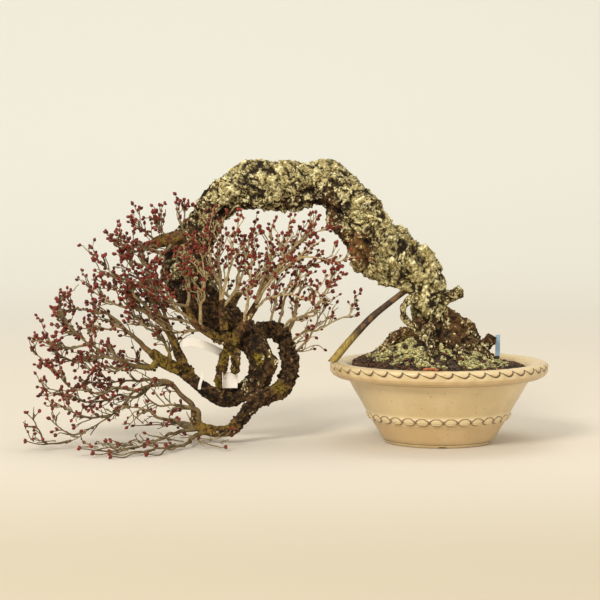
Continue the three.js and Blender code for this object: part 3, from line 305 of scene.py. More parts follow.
# Sprays: the limb that carries each one, and its shoots
SPRAYS = {
    "spray_shoulder": ([[-352, 24, 304, 13], [-374, 14, 306, 12.5], [-394, 4, 303, 12], [-414, -4, 302, 10.5],
                        [-428, -8, 298, 8]], [
        [2.4, [[-422, -4, 300], [-434, -12, 309], [-446, -18, 318], [-456, -22, 326]]],
        [2.4, [[-404, 2, 304], [-414, -10, 320], [-422, -16, 332]]],
        [2.8, [[-423, -8, 298], [-438, -24, 288], [-460, -38, 285], [-480, -48, 294], [-490, -52, 309]]],
        [2.4, [[-380, 10, 308], [-384, -6, 330], [-381, -12, 350]]],
        [2.6, [[-400, -6, 298], [-410, -26, 285], [-428, -42, 270], [-448, -54, 268], [-468, -64, 279]]],
    ]),
    "spray_upper_left": ([[-385, -10, 118, 7.6], [-399, -22, 152, 6.2], [-412, -28, 176, 4.6]], [
        [4, [[-411, -28, 173], [-434, -36, 190], [-458, -42, 202], [-485, -48, 208], [-510, -52, 219],
             [-531, -54, 237]]],
        [3.4, [[-428, -34, 186], [-446, -48, 210], [-465, -58, 232], [-489, -66, 250], [-510, -70, 268],
               [-520, -72, 282]]],
        [3.4, [[-411, -28, 174], [-432, -30, 210], [-446, -28, 237], [-462, -26, 262], [-476, -22, 284]]],
        [3.4, [[-399, -22, 152], [-410, -12, 189], [-422, 0, 222], [-434, 12, 254], [-448, 22, 278]]],
    ]),
    "spray_left": ([[-389, 2, 106.5, 9], [-402, 0, 114, 9.5], [-416, -2, 122, 9.5], [-432, -4, 134, 7]], [
        [5, [[-429, -4, 130], [-446, -8, 147], [-460, -16, 160], [-478, -24, 171], [-500, -30, 171],
             [-519, -34, 171], [-536, -36, 170]]],
        [2.8, [[-464, -18, 162], [-492, -30, 188], [-512, -34, 194], [-530, -36, 198], [-546, -38, 202],
               [-561, -40, 212]]],
        [4.6, [[-422, -2, 123], [-435, -16, 111], [-454, -30, 110], [-477, -40, 122], [-506, -48, 130],
               [-524, -54, 144], [-542, -58, 159], [-556, -60, 170], [-579, -62, 176]]],
        [2.6, [[-502, -47, 130], [-522, -42, 123], [-542, -38, 122], [-566, -32, 124], [-588, -26, 120],
               [-603, -22, 130], [-615, -20, 142]]],
        [2.2, [[-526, -55, 146], [-548, -66, 141], [-568, -74, 142], [-590, -80, 148], [-604, -84, 158]]],
        [2.4, [[-542, -58, 159], [-556, -66, 177], [-566, -72, 195], [-573, -76, 213]]],
        [2.2, [[-464, -34, 116], [-484, -44, 108], [-508, -52, 110], [-530, -58, 105]]],
        [3.2, [[-404, 2, 114], [-420, 26, 112], [-446, 52, 116], [-472, 72, 122], [-500, 86, 126],
               [-526, 96, 132]]],
        [2.6, [[-402, 0, 115], [-405, -14, 134], [-414, -24, 152], [-430, -30, 168], [-450, -36, 180],
               [-468, -40, 194]]],
        [2.2, [[-410, -2, 119], [-404, 12, 138], [-402, 20, 156], [-408, 26, 172], [-420, 30, 186]]],
    ]),
    "spray_hub_left": ([[-335, -40.5, 156.5, 6.7], [-357, -48, 171, 6], [-372, -50, 186, 5.2],
                        [-378, -50, 204, 4]], [
        [2.6, [[-378, -50, 203], [-394, -62, 209], [-412, -74, 216], [-432, -84, 225], [-448, -92, 238]]],
        [3, [[-378, -50, 202], [-375, -60, 225], [-376, -68, 249], [-384, -74, 272], [-392, -78, 291]]],
        [2.6, [[-370, -50, 183], [-387, -68, 195], [-404, -82, 219], [-420, -94, 243],
               [-432, -102, 262]]],
        [3, [[-357, -48, 171], [-358, -64, 198], [-354, -78, 225], [-352, -88, 255], [-358, -94, 282],
             [-368, -98, 302]]],
        [2.6, [[-357, -48, 171], [-380, -40, 180], [-408, -34, 186], [-436, -28, 196], [-462, -22, 212]]],
        [2.4, [[-345, -44, 163], [-366, -32, 168], [-392, -22, 164], [-420, -14, 170], [-448, -8, 182],
               [-474, -4, 188]]],
        [2.4, [[-372, -50, 186], [-398, -44, 200], [-424, -40, 214], [-452, -36, 222]]],
    ]),
    "spray_hub_up": ([[-322.5, -40.5, 169, 6], [-325, -45, 190, 5], [-327, -48, 213, 4]], [
        [3.4, [[-327, -48, 211], [-328, -48, 243], [-330, -46, 276], [-327, -42, 306], [-327, -40, 328]]],
        [2.6, [[-327, -48, 212], [-316, -58, 255], [-309, -66, 286], [-304, -70, 314], [-298, -72, 338]]],
        [2.6, [[-328, -48, 237], [-340, -60, 264], [-346, -68, 294], [-345, -74, 321], [-339, -78, 345]]],
        [2.8, [[-326, -46, 201], [-310, -34, 222], [-297, -22, 246], [-288, -12, 276], [-285, -6, 306]]],
    ]),
    "spray_hub_right": ([[-301.5, -34, 164, 7.1], [-286, -36, 186, 6], [-274, -38, 208, 4.6]], [
        [3.6, [[-275, -38, 207], [-266, -36, 232], [-258, -34, 261], [-254, -30, 291], [-255, -26, 318]]],
        [3.2, [[-274, -38, 208], [-254, -48, 240], [-238, -56, 267], [-228, -62, 297], [-224, -66, 327]]],
        [3, [[-267, -36, 230], [-244, -26, 256], [-224, -16, 282], [-207, -6, 306], [-194, 0, 328]]],
        [2.4, [[-278, -37, 201], [-260, -52, 212], [-238, -64, 218], [-216, -74, 219], [-195, -82, 216],
               [-177, -88, 220], [-162, -92, 225]]],
        [2.6, [[-250, -50, 246], [-232, -64, 260], [-212, -76, 274], [-189, -86, 279], [-164, -94, 272],
               [-135, -100, 274]]],
        [2.2, [[-237, -57, 270], [-220, -50, 291], [-202, -44, 308], [-184, -40, 316], [-170, -38, 322]]],
        [2.6, [[-294, -35, 175], [-288, -50, 204], [-284, -64, 234], [-280, -76, 264],
               [-280, -86, 291]]],
    ]),
    "spray_low": ([[-300, -30, 28, 9], [-308, -30, 18, 9.5], [-324, -30, 8, 9], [-344, -28, 9, 8.5],
                   [-360, -28, 21, 8], [-368, -28, 38, 6.5]], [
        [5, [[-360, -28, 22], [-366, -34, 48], [-387, -42, 52], [-414, -48, 54], [-432, -52, 60],
             [-442, -54, 70], [-451, -52, 76]]],
        [4.6, [[-368, -28, 36], [-372, -22, 57], [-384, -20, 66], [-393, -20, 80], [-404, -24, 88],
               [-422, -30, 86], [-440, -38, 81], [-458, -46, 72], [-472, -54, 58], [-490, -62, 40],
               [-510, -68, 28], [-528, -74, 16], [-544, -80, 2], [-558, -84, -10]]],
        [2.8, [[-452, -43, 75], [-470, -38, 80], [-488, -34, 82], [-502, -32, 72], [-519, -32, 72],
               [-534, -32, 78], [-548, -34, 81], [-560, -38, 86], [-572, -42, 99], [-584, -46, 111]]],
        [2.6, [[-436, -36, 81], [-458, -24, 66], [-476, -16, 68], [-496, -10, 63], [-518, -6, 63],
               [-536, -2, 60], [-552, 2, 63], [-567, 6, 72], [-584, 8, 78], [-602, 10, 82]]],
        [3, [[-400, -23, 87], [-418, -8, 94], [-438, 4, 92], [-462, 14, 90], [-488, 22, 88],
             [-512, 28, 88], [-536, 32, 92]]],
        [4, [[-360, -28, 20], [-378, -36, 22], [-394, -46, 30], [-412, -56, 33], [-429, -64, 39],
             [-448, -68, 50], [-468, -70, 51], [-483, -68, 46], [-494, -63, 39]]],
        [2.2, [[-494, -64, 38], [-520, -74, 36], [-536, -80, 39], [-549, -86, 44], [-566, -92, 51],
               [-580, -96, 60]]],
        [2, [[-532, -76, 13], [-550, -84, 8], [-562, -90, 14], [-574, -94, 22], [-585, -98, 33]]],
        [2, [[-554, -83, -6], [-568, -92, -14], [-586, -100, -14], [-604, -106, -9], [-621, -110, -3]]],
        [1.8, [[-590, -101, -14], [-596, -110, 3], [-602, -116, 18], [-612, -120, 33],
               [-620, -122, 42]]],
        [3.4, [[-358, -28, 18], [-376, -40, 16], [-398, -58, 8], [-417, -78, -3], [-435, -98, -15],
               [-450, -114, -27], [-465, -130, -39], [-480, -146, -57], [-496, -158, -70],
               [-512, -166, -64], [-519, -170, -50]]],
        [2, [[-458, -122, -33], [-478, -136, -34], [-500, -146, -32], [-520, -154, -27],
             [-540, -160, -21]]],
        [4.2, [[-352, -28, 12], [-364, -42, 2], [-374, -56, -12], [-374, -70, -26], [-382, -88, -39],
               [-396, -108, -57], [-408, -126, -70], [-416, -142, -86], [-424, -154, -96],
               [-438, -162, -102]]],
        [2.2, [[-382, -88, -39], [-404, -104, -40], [-423, -120, -42], [-440, -136, -54],
               [-458, -148, -62], [-476, -160, -66], [-494, -170, -63]]],
        [2, [[-428, -123, -45], [-444, -144, -66], [-460, -162, -81], [-477, -174, -90],
             [-492, -182, -84]]],
        [2, [[-356, -30, 12], [-363, -30, -9], [-360, -52, -24], [-346, -72, -32], [-332, -88, -36],
             [-322, -104, -40]]],
        [3, [[-334, -28, 9], [-342, 0, 20], [-362, 26, 27], [-392, 50, 27], [-424, 72, 21],
             [-458, 88, 15]]],
    ]),
    "spray_back_upper": ([[-372, 40, 250, 10], [-378, 72, 256, 8], [-390, 92, 268, 5.5]], [
        [3.6, [[-386, 84, 264], [-398, 98, 285], [-410, 108, 306], [-422, 114, 322]]],
        [3.6, [[-388, 90, 267], [-406, 110, 276], [-430, 128, 288], [-454, 142, 294], [-476, 150, 297]]],
        [3.6, [[-382, 78, 260], [-400, 102, 240], [-430, 122, 225], [-458, 138, 222], [-488, 150, 231],
               [-512, 158, 243]]],
        [3, [[-388, 90, 267], [-374, 112, 288], [-358, 128, 309], [-346, 138, 330]]],
    ]),
    "spray_back_right": ([[-326, 28, 192, 10], [-314, 60, 204, 7.5], [-300, 82, 222, 5]], [
        [3.4, [[-304, 78, 216], [-302, 98, 243], [-294, 112, 270], [-286, 122, 294], [-280, 128, 315]]],
        [3.6, [[-302, 80, 220], [-280, 98, 234], [-256, 112, 255], [-232, 122, 276], [-212, 128, 294]]],
        [3, [[-309, 68, 210], [-326, 90, 228], [-340, 108, 255], [-350, 120, 279]]],
    ]),
}

PROP_ROUTE = [
    [-164, -14, 114, 6.4], [-154, -14, 127, 6.2], [-136, -13, 149, 5.8], [-104, -11, 184, 5.2],
    [-74, -9, 209, 4.7], [-36, -6, 238, 4.3],
]
STEM_LABEL = [[-385, -25, 147], [-372, -27, 150], [-356, -27, 146], [-340, -20, 140], [-328, -14.2, 134],
              [-318, -13.8, 131]]
STUB_LABEL = [[-325, -27, 92], [-323.5, -20, 92], [-318, -15.2, 92], [-310, -14, 92], [-302.5, -14.4, 92]]
TIE_STRIP = [[-354, -0.6, 106], [-356, -4.1, 96], [-359, -5.9, 86], [-360, -5.6, 78]]

# Labels and prop: widths, thicknesses, sides of a section, and the heights where the prop starts and is cut
STEM_LABEL_WIDTH = 13.0
STUB_LABEL_WIDTH = 24.0
TIE_WIDTH = 4.5
PAPER_THICKNESS = 0.8
PLANT_LABEL = [[90.0, 13.0, 92.2], [90.0, 13.0, 126.0], [90.0, 13.0, 159.8]]
PLANT_LABEL_TURN = 0.5
PLANT_LABEL_WIDTH = 8.0
PLANT_LABEL_THICKNESS = 1.2
STRIP_SIDES = 16
PROP_SIDES = 28
PROP_FROM = 118
PROP_FOOT = 121.9

# Studio: the floor's reach, where it starts to bend up, the bend's radius and the wall's top
STUDIO_REACH = 20000
BEND_START = 2600.0
BEND_RADIUS = 2400.0
STUDIO_TOP = 7000
STUDIO_ROWS = 24

# Soft lights: name, place in metres, watts, size in metres, colour; all look at one place
LIGHTS = [
    ("key", (-2.2, -4.1, 3.1), 204.0, 1.5, (1.0, 0.97, 0.91)),
    ("fill", (3.4, -3.4, 1.7), 32.0, 3.1, (1.0, 0.96, 0.9)),
    ("top", (0.2, 0.8, 3.0), 20.0, 1.8, (1.0, 0.97, 0.92)),
]
LIT_PLACE = (-0.2, 0, 0.2)

# Light from all round, and how far the camera sees
AIR_COLOUR = (1.0, 0.972, 0.925, 1.0)
AIR_STRENGTH = 0.82
CAMERA_REACH_M = 100.0


# Repeatable variation

def hashed(cells, salt):
    """Number from 0 to 1 of a whole-number cell: the fraction of 43758.5 times the sine of a weighted sum."""
    mix = cells @ np.array([127.1, 311.7, 74.7]) + 19.19 * salt
    return np.modf(np.abs(np.sin(mix) * 43758.5453))[0]


def eased(low, high, value):
    """t * t * (3 - 2 t), with t the place of the value between low and high, kept from 0 to 1."""
    t = np.clip((value - low) / (high - low), 0, 1)
    return t * t * (3 - 2 * t)


def noise(points, size, salt):
    """Smooth values from -1 to 1: the hashed corners of each point's cell, mixed by eased shares."""
    scaled = points / size
    base = np.floor(scaled)
    share = eased(0, 1, scaled - base)
    total = 0.0
    for corner in np.ndindex(2, 2, 2):
        weight = np.prod(np.where(corner, share, 1 - share), axis=-1)
        total = total + weight * hashed(base + corner, salt)
    return 2 * total - 1


def plates(points, size, salt):
    """Plates round one hashed seed a cell: (second nearest less nearest distance, the plate's number)."""
    scaled = points / size
    base = np.floor(scaled)
    nearest = np.full(scaled.shape[:-1], 9.0)
    second = nearest.copy()
    own = np.zeros_like(nearest)
    for offset in np.ndindex(3, 3, 3):
        cell = base + offset - 1
        seed = cell + np.stack([hashed(cell, salt + k) for k in (1, 2, 3)], axis=-1)
        away = np.linalg.norm(scaled - seed, axis=-1)
        closer = away < nearest
        second = np.where(closer, nearest, np.minimum(second, away))
        own = np.where(closer, hashed(cell, salt + 4), own)
        nearest = np.minimum(nearest, away)
    return second - nearest, own


# Routes

def seen_at(drawn):
    """A drawn (x, y, z) stands on the sight line from the eye through (x, 0, z), at its true depth y."""
    share = (drawn[:, 1:2] - EYE[1]) / -EYE[1]
    return EYE + (drawn * (1, 0, 1) - EYE) * share


def settled(points, radius):
    """Near the floor z becomes rest + SETTLE exp((z - rest - SETTLE) / SETTLE), with rest = radius + gap."""
    rest = radius + FLOOR_GAP
    under = np.minimum(points[:, 2] - rest - SETTLE, 0)
    height = np.where(under < 0, rest + SETTLE * np.exp(under / SETTLE), points[:, 2])
    return np.column_stack([points[:, :2], height])


def placed(route):
    """A drawn route with radii as (points, radii): each point on its sight line, and clear of the floor."""
    route = np.array(route, float)
    return settled(seen_at(route[:, :3]), route[:, 3]), route[:, 3]


def smoothed(points, radii, step):
    """Catmull-Rom from b to c: 0.5 (2b + (c-a) t + (2a-5b+4c-d) t^2 + (3b-a-3c+d) t^3), a point a step."""
    knots = np.column_stack([points, radii])
    ends = np.vstack([knots[:1], knots, knots[-1:]])
    parts = []
    for a, b, c, d in zip(ends, ends[1:], ends[2:], ends[3:]):
        count = max(1, round(np.linalg.norm((c - b)[:3]) / step))
        t = (np.arange(count) / count)[:, None]
        bend = (2 * a - 5 * b + 4 * c - d) * t**2 + (3 * b - a - 3 * c + d) * t**3
        parts.append(0.5 * (2 * b + (c - a) * t + bend))
    run = np.vstack([*parts, knots[-1:]])
    return run[:, :3], run[:, 3]


def smooth_path(points, step):
    """The smoothed run of points that have no radii."""
    return smoothed(points, np.zeros(len(points)), step)[0]


def unit(vectors):
    """Each vector over its own length."""
    return vectors / np.linalg.norm(vectors, axis=-1, keepdims=True)


def across(direction):
    """Unit cross product of a direction with up, or with X where the direction is steep."""
    helper = UP if abs(direction[2]) < STEEP_SHARE else np.array([1.0, 0.0, 0.0])
    return unit(np.cross(direction, helper))


def run_lengths(path):
    """Length of the path up to each of its points."""
    return np.concatenate([[0], np.cumsum(np.linalg.norm(np.diff(path, axis=0), axis=1))])


def on_path(path, share):
    """Point and direction at a share of the path's length, on its straight pieces."""
    run = run_lengths(path)
    i = int(np.clip(np.searchsorted(run, share * run[-1]), 1, len(path) - 1))
    along = unit(path[i] - path[i - 1])
    return path[i - 1] + along * (share * run[-1] - run[i - 1]), along


def frames(path):
    """Along, normal and binormal of each point; the normal is carried on and only loses its part along."""
    along = unit(np.gradient(path, axis=0))
    normal = across(along[0])
    normals = []
    for direction in along:
        normal = unit(normal - direction * (normal @ direction))
        normals.append(normal)
    normals = np.array(normals)
    return along, normals, np.cross(along, normals)


# Surfaces: a patch is (points, quads, triangles, masks by name)

def closed_rings(grid, start, end, masks=None):
    """Rings joined by quads, and a fan to a pole at each end, where a mask has the mean of its ring."""
    rows, sides = grid.shape[:2]
    row, side = np.meshgrid(np.arange(rows - 1), np.arange(sides), indexing="ij")
    ahead = (side + 1) % sides
    quads = np.stack([row * sides + side, row * sides + ahead, (row + 1) * sides + ahead,
                      (row + 1) * sides + side], axis=-1).reshape(-1, 4)
    k = np.arange(sides)
    later = (k + 1) % sides
    last = (rows - 1) * sides
    low_pole = np.full(sides, rows * sides)
    fans = np.vstack([np.column_stack([low_pole, later, k]),
                      np.column_stack([low_pole + 1, last + k, last + later])])
    points = np.vstack([grid.reshape(-1, 3), start, end])
    flat = {}
    for name, mask in (masks or {}).items():
        mask = np.broadcast_to(mask, (rows, sides))
        flat[name] = np.concatenate([mask.ravel(), [mask[0].mean(), mask[-1].mean()]])
    return points, quads, fans, flat


def tube(path, radii, sides, relief=None, tip=0.5, masks=None):
    """point(i, a) = path(i) + reach(i, a) (normal cos a + binormal sin a), with a blunt pole at each end."""
    along, normal, binormal = frames(path)
    angle = np.arange(sides) / sides * TURN
    outward = normal[:, None] * np.cos(angle)[:, None] + binormal[:, None] * np.sin(angle)[:, None]
    reach = np.broadcast_to(radii[:, None], (len(path), sides))
    masks = dict(masks or {})
    if relief:
        reach, found = relief(path[:, None], outward, radii[:, None], run_lengths(path)[:, None], angle)
        masks.update(found)
    grid = path[:, None] + outward * reach[..., None]
    start = path[0] - along[0] * BLUNT_START * radii[0]
    return closed_rings(grid, start, path[-1] + along[-1] * tip * radii[-1], masks)


def merged(patches):
    """One patch of many: the same masks on all, each face's numbers raised by the points before it."""
    names = sorted(set(name for patch in patches for name in patch[3]))
    before = np.cumsum([0] + [len(patch[0]) for patch in patches])
    points = np.vstack([patch[0] for patch in patches])
    quads = np.vstack([patch[1] + b for patch, b in zip(patches, before)])
    fans = np.vstack([patch[2] + b for patch, b in zip(patches, before)])
    masks = {name: np.concatenate([patch[3].get(name, np.zeros(len(patch[0]))) for patch in patches])
             for name in names}
    return points, quads, fans, masks


def inside_box(points):
    """Points kept within the box of the fixed frame, less a hair."""
    low, high = np.array(cad_box) / MM
    return np.clip(points, low + BOX_HAIR, high - BOX_HAIR)


def free_of_box(point):
    """True where a bud still has room between the point and the box's sides and top."""
    low, high = np.array(cad_box) / MM
    return bool(np.all(point > low + (BUD_LENGTH, BUD_LENGTH, 0)) and np.all(point < high - BUD_LENGTH))


def piece(name, patch, material, replaced=()):
    """A mesh in metres from a patch, with its masks as point attributes, riding on the root."""
    points, quads, fans, masks = patch
    mesh = bpy.data.meshes.new(name)
    mesh.vertices.add(len(points))
    mesh.vertices.foreach_set("co", (inside_box(points) * MM).astype(np.float32).ravel())
    mesh.loops.add(quads.size + fans.size)
    mesh.loops.foreach_set("vertex_index", np.concatenate([quads.ravel(), fans.ravel()]).astype(np.int32))
    mesh.polygons.add(len(quads) + len(fans))
    starts = np.concatenate([np.arange(len(quads)) * 4, quads.size + np.arange(len(fans)) * 3])
    mesh.polygons.foreach_set("loop_start", starts.astype(np.int32))
    for mask_name, values in masks.items():
        layer = mesh.attributes.new(mask_name, "FLOAT", "POINT")
        layer.data.foreach_set("value", values.astype(np.float32))
    mesh.update(calc_edges=True)
    mesh.validate()
    mesh.polygons.foreach_set("use_smooth", np.ones(len(mesh.polygons), bool))
    mesh.materials.append(material)
    made = bpy.data.objects.new(name, mesh)
    bpy.context.scene.collection.objects.link(made)
    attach(made, "root")
    if replaced:
        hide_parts(*replaced)
    return made


# Material building

def srgb(red, green, blue):
    """Linear colour of one given as it looks, 0 to 255: ((c + 0.055) / 1.055) ^ 2.4."""
    seen = np.array([red, green, blue]) / 255
    linear = np.where(seen <= 0.04045, seen / 12.92, ((seen + 0.055) / 1.055) ** 2.4)
    return (*linear.tolist(), 1.0)


def node(tree, kind, values=None, **settings):
    """Adds a shader node; a value is a number, a colour, or another node's output to link."""
    made = tree.nodes.new("ShaderNode" + kind)
    for key, value in settings.items():
        setattr(made, key, value)
    for socket, value in (values or {}).items():
        if isinstance(value, bpy.types.NodeSocket):
            tree.links.new(value, made.inputs[socket])
        else:
            made.inputs[socket].default_value = value
    return made


def mixed(tree, share, first, second):
    """Colour between first and second by a share."""
    return node(tree, "Mix", {0: share, 6: first, 7: second}, data_type="RGBA").outputs[2]


def ranged(tree, value, low, high, to_low=0.0, to_high=1.0):
    """Smooth step of a value from low to high."""
    return node(tree, "MapRange", {0: value, 1: low, 2: high, 3: to_low, 4: to_high},
                interpolation_type="SMOOTHSTEP").outputs[0]


def maths(tree, operation, first, second):
    """One sum, difference, product or quotient of two values."""
    return node(tree, "Math", {0: first, 1: second}, operation=operation).outputs[0]


def mask_of(tree, name):
    """A mask that the mesh carries, 0 to 1."""
    return node(tree, "Attribute", attribute_name=name).outputs["Fac"]


def patchy(tree, name, grain, low, high):
    """A mask broken up by a grain: the mask times the smooth step of the grain's value."""
    return maths(tree, "MULTIPLY", mask_of(tree, name), ranged(tree, grain.outputs["Value"], low, high))


def shader_group(name, inputs, outputs):
    """A node group with named sockets: the group, its input node and its output node."""
    group = bpy.data.node_groups.new(name, "ShaderNodeTree")
    for socket, (kind, default) in inputs.items():
        made = group.interface.new_socket(socket, in_out="INPUT", socket_type="NodeSocket" + kind)
        made.default_value = default
    for socket, kind in outputs.items():
        group.interface.new_socket(socket, in_out="OUTPUT", socket_type="NodeSocket" + kind)
    return group, group.nodes.new("NodeGroupInput"), group.nodes.new("NodeGroupOutput")


# Colours, as they look

LICHEN_OLIVE = srgb(110, 92, 48)
LICHEN_GREY = srgb(138, 126, 80)
LICHEN_PALE = srgb(182, 166, 112)
LICHEN_CREAM = srgb(250, 240, 188)
CRACK_AND_SHADE_DARK = srgb(22, 15, 9)
BARK_DARK = srgb(40, 28, 16)
BARK_BROWN = srgb(106, 78, 48)
BARK_TAN = srgb(158, 112, 62)
MOSS_OCHRE = srgb(136, 116, 36)
THIN_TWIG_BROWN = srgb(114, 92, 56)
THIN_TWIG_TAN = srgb(206, 184, 136)
STOUT_TWIG_BROWN = srgb(88, 64, 34)
STOUT_TWIG_TAN = srgb(162, 128, 78)
SHADED_TWIG = srgb(72, 56, 32)
BUD_CRIMSON = srgb(78, 25, 16)
BUD_RED = srgb(146, 54, 36)
BUD_MARBLING = srgb(80, 34, 20)
BUD_CUP = srgb(70, 38, 26)
GLAZE_CREAM = srgb(194, 168, 120)
GLAZE_LIGHT = srgb(210, 187, 141)
GLAZE_STAIN = srgb(184, 156, 108)
GLAZE_PINHOLE = srgb(140, 112, 74)
GLAZE_UNDER_SHADE = srgb(190, 154, 106)
GLAZE_HIGHLIGHT = srgb(232, 212, 170)
GLAZE_GROOVE_SHADE = srgb(80, 56, 32)
SOIL_DARK = srgb(26, 17, 10)
SOIL_BROWN = srgb(98, 68, 40)
SOIL_RED = srgb(174, 98, 56)
MOSS_GREEN = srgb(108, 98, 36)
MOSS_YELLOW = srgb(152, 142, 70)
MOSS_TIP = srgb(236, 226, 158)
MOSS_ROOT = srgb(52, 42, 20)
PROP_DARK = srgb(58, 38, 22)
PROP_TAN = srgb(118, 86, 50)
PROP_STREAK = srgb(40, 26, 16)
PROP_OLIVE = srgb(122, 100, 38)
PROP_YELLOW = srgb(176, 150, 76)
PAPER_SHADED = srgb(212, 204, 190)
PAPER_LIGHT = srgb(234, 228, 216)
BLUE_DARK = srgb(122, 154, 182)
BLUE_LIGHT = srgb(164, 192, 210)
SCREEN_DARK = srgb(30, 36, 32)
SCREEN_GREY = srgb(62, 70, 62)
FLOOR_FRONT_SHADE = srgb(190, 179, 155)
FLOOR_BACK = srgb(213, 204, 188)
FAR_PAPER = srgb(232, 231, 221)


# Shader groups

CELL_WARP_MM = 1.2


def speckle_group():
    """Grain: Value mixes fractal noise with cell numbers by Cells, Height mixes it with the cells' domes."""
    group, given, out = shader_group("speckle", {"Size": ("Float", 3.0), "Cells": ("Float", 0.5)},
                                     {"Value": "Float", "Height": "Float"})
    place = node(group, "TexCoord").outputs["Object"]
    scale = maths(group, "DIVIDE", 1000.0, given.outputs["Size"])
    cloud = node(group, "TexNoise", {"Vector": place, "Scale": scale, "Detail": 5.0, "Roughness": 0.62})
    push = node(group, "VectorMath", {0: cloud.outputs["Color"], "Scale": CELL_WARP_MM * MM},
                operation="SCALE")
    warped = node(group, "VectorMath", {0: place, 1: push.outputs[0]}, operation="ADD")
    cell = node(group, "TexVoronoi", {"Vector": warped.outputs[0], "Scale": scale})
    number = node(group, "SeparateColor", {0: cell.outputs["Color"]}).outputs[0]
    value = node(group, "Mix", {0: given.outputs["Cells"], 2: cloud.outputs[0], 3: number}).outputs[0]
    dome = maths(group, "SUBTRACT", 1.0, cell.outputs["Distance"])
    height = node(group, "Mix", {0: given.outputs["Cells"], 2: cloud.outputs[0], 3: dome}).outputs[0]
    group.links.new(value, out.inputs["Value"])
    group.links.new(height, out.inputs["Height"])
    return group


speckle = speckle_group()


def speckled(tree, size, cells):
    """The speckle group placed with its own grain size in millimetres and its share of cells."""
    return node(tree, "Group", {"Size": size, "Cells": cells}, node_tree=speckle)


def lichen_group():
    """Lichen over bark: olive to cream by tone, grown by cover plus grain, and kept out of the cracks and
    creases, so their dark bark stays as painted shade.
    """
    group, given, out = shader_group(
        "lichen",
        {"Bark": ("Color", BARK_DARK), "Cover": ("Float", 0.5), "Flake": ("Float", 0.5),
         "Crack_and_shade": ("Float", 0.0)},
        {"Color": "Color", "Height": "Float"})
    fine = speckled(group, 2.2, 0.55)
    middle = speckled(group, 5.0, 0.5)
    broad = speckled(group, 24.0, 0.15)
    total = maths(group, "ADD", fine.outputs["Value"], middle.outputs["Value"])
    both = maths(group, "MULTIPLY", total, 0.5)
    flakes = maths(group, "MULTIPLY", given.outputs["Flake"], 0.22)
    tone = maths(group, "ADD", maths(group, "MULTIPLY", both, 0.8), flakes)
    green = mixed(group, ranged(group, broad.outputs["Value"], 0.35, 0.65), LICHEN_OLIVE, LICHEN_GREY)
    pale = mixed(group, ranged(group, tone, 0.4, 0.54), green, LICHEN_PALE)
    bright = mixed(group, ranged(group, tone, 0.56, 0.72), pale, LICHEN_CREAM)
    ragged = maths(group, "MULTIPLY", maths(group, "SUBTRACT", both, 0.5), 1.5)
    spread = maths(group, "ADD", given.outputs["Cover"], ragged)
    clear_of_crack_and_shade = ranged(group, given.outputs["Crack_and_shade"], 1.1, 0.5)
    grown = maths(group, "MULTIPLY", ranged(group, spread, 0.34, 0.56), clear_of_crack_and_shade)
    group.links.new(mixed(group, grown, given.outputs["Bark"], bright), out.inputs["Color"])
    group.links.new(fine.outputs["Height"], out.inputs["Height"])
    return group


lichen = lichen_group()


# Materials

def finished(name, build, roughness, **plain):
    """A Principled material: build(tree, shader) links colour and bump, and plain numbers set its sockets."""
    material = bpy.data.materials.new(name)
    material.use_nodes = True
    tree = material.node_tree
    shader = tree.nodes["Principled BSDF"]
    shader.inputs["Roughness"].default_value = roughness
    for socket, value in plain.items():
        shader.inputs[socket.replace("_", " ")].default_value = value
    build(tree, shader)
    return material


def bumped(tree, shader, height, distance_mm):
    """Low relief from a height, as deep as the distance."""
    bump = node(tree, "Bump", {"Height": height, "Distance": distance_mm * MM})
    tree.links.new(bump.outputs[0], shader.inputs["Normal"])


def coloured(tree, shader, colour):
    """The colour goes to the shader's base colour."""
    tree.links.new(colour, shader.inputs["Base Color"])


def old_bark(tree, shader):
    """Trunk: brown plates, tan where worn, near black in cracks, creases and cavities as painted shade,
    lichen by its cover mask.
    """
    grain = speckled(tree, 5.0, 0.4)
    patch = speckled(tree, 30.0, 0.1)
    brown = mixed(tree, ranged(tree, grain.outputs["Value"], 0.3, 0.7), BARK_DARK, BARK_BROWN)
    tan = mixed(tree, patchy(tree, "worn", patch, 0.35, 0.6), brown, BARK_TAN)
    mossy = mixed(tree, patchy(tree, "moss", grain, 0.3, 0.55), tan, MOSS_OCHRE)
    crack = mask_of(tree, "crack")
    crust = node(tree, "Group", {"Bark": mossy, "Cover": mask_of(tree, "lichen"),
                                 "Flake": mask_of(tree, "flake"), "Crack_and_shade": crack}, node_tree=lichen)
    # Cracks, creases and cavities go near black: painted shade.
    cracks_and_painted_shade = maths(tree, "MAXIMUM", maths(tree, "MULTIPLY", crack, 0.82), mask_of(tree, "cavity"))
    coloured(tree, shader, mixed(tree, cracks_and_painted_shade, crust.outputs["Color"], CRACK_AND_SHADE_DARK))
    bumped(tree, shader, crust.outputs["Height"], 2.2)


def young_bark(tree, shader):
    """Shoots: grey-tan when thin, warm brown when stout, darker on low and inner stems as painted shade,
    mossy by a mask.
    """
    grain = speckled(tree, 2.2, 0.5)
    patch = speckled(tree, 14.0, 0.2)
    thin = mixed(tree, grain.outputs["Value"], THIN_TWIG_BROWN, THIN_TWIG_TAN)
    stout = mixed(tree, grain.outputs["Value"], STOUT_TWIG_BROWN, STOUT_TWIG_TAN)
    wood = mixed(tree, mask_of(tree, "girth"), thin, stout)
    # Low and inner stems go darker: painted shade.
    dark = mixed(tree, patchy(tree, "shade", patch, 0.1, 0.7), wood, SHADED_TWIG)
    coloured(tree, shader, mixed(tree, patchy(tree, "moss", grain, 0.3, 0.55), dark, MOSS_OCHRE))
    bumped(tree, shader, grain.outputs["Height"], 0.5)


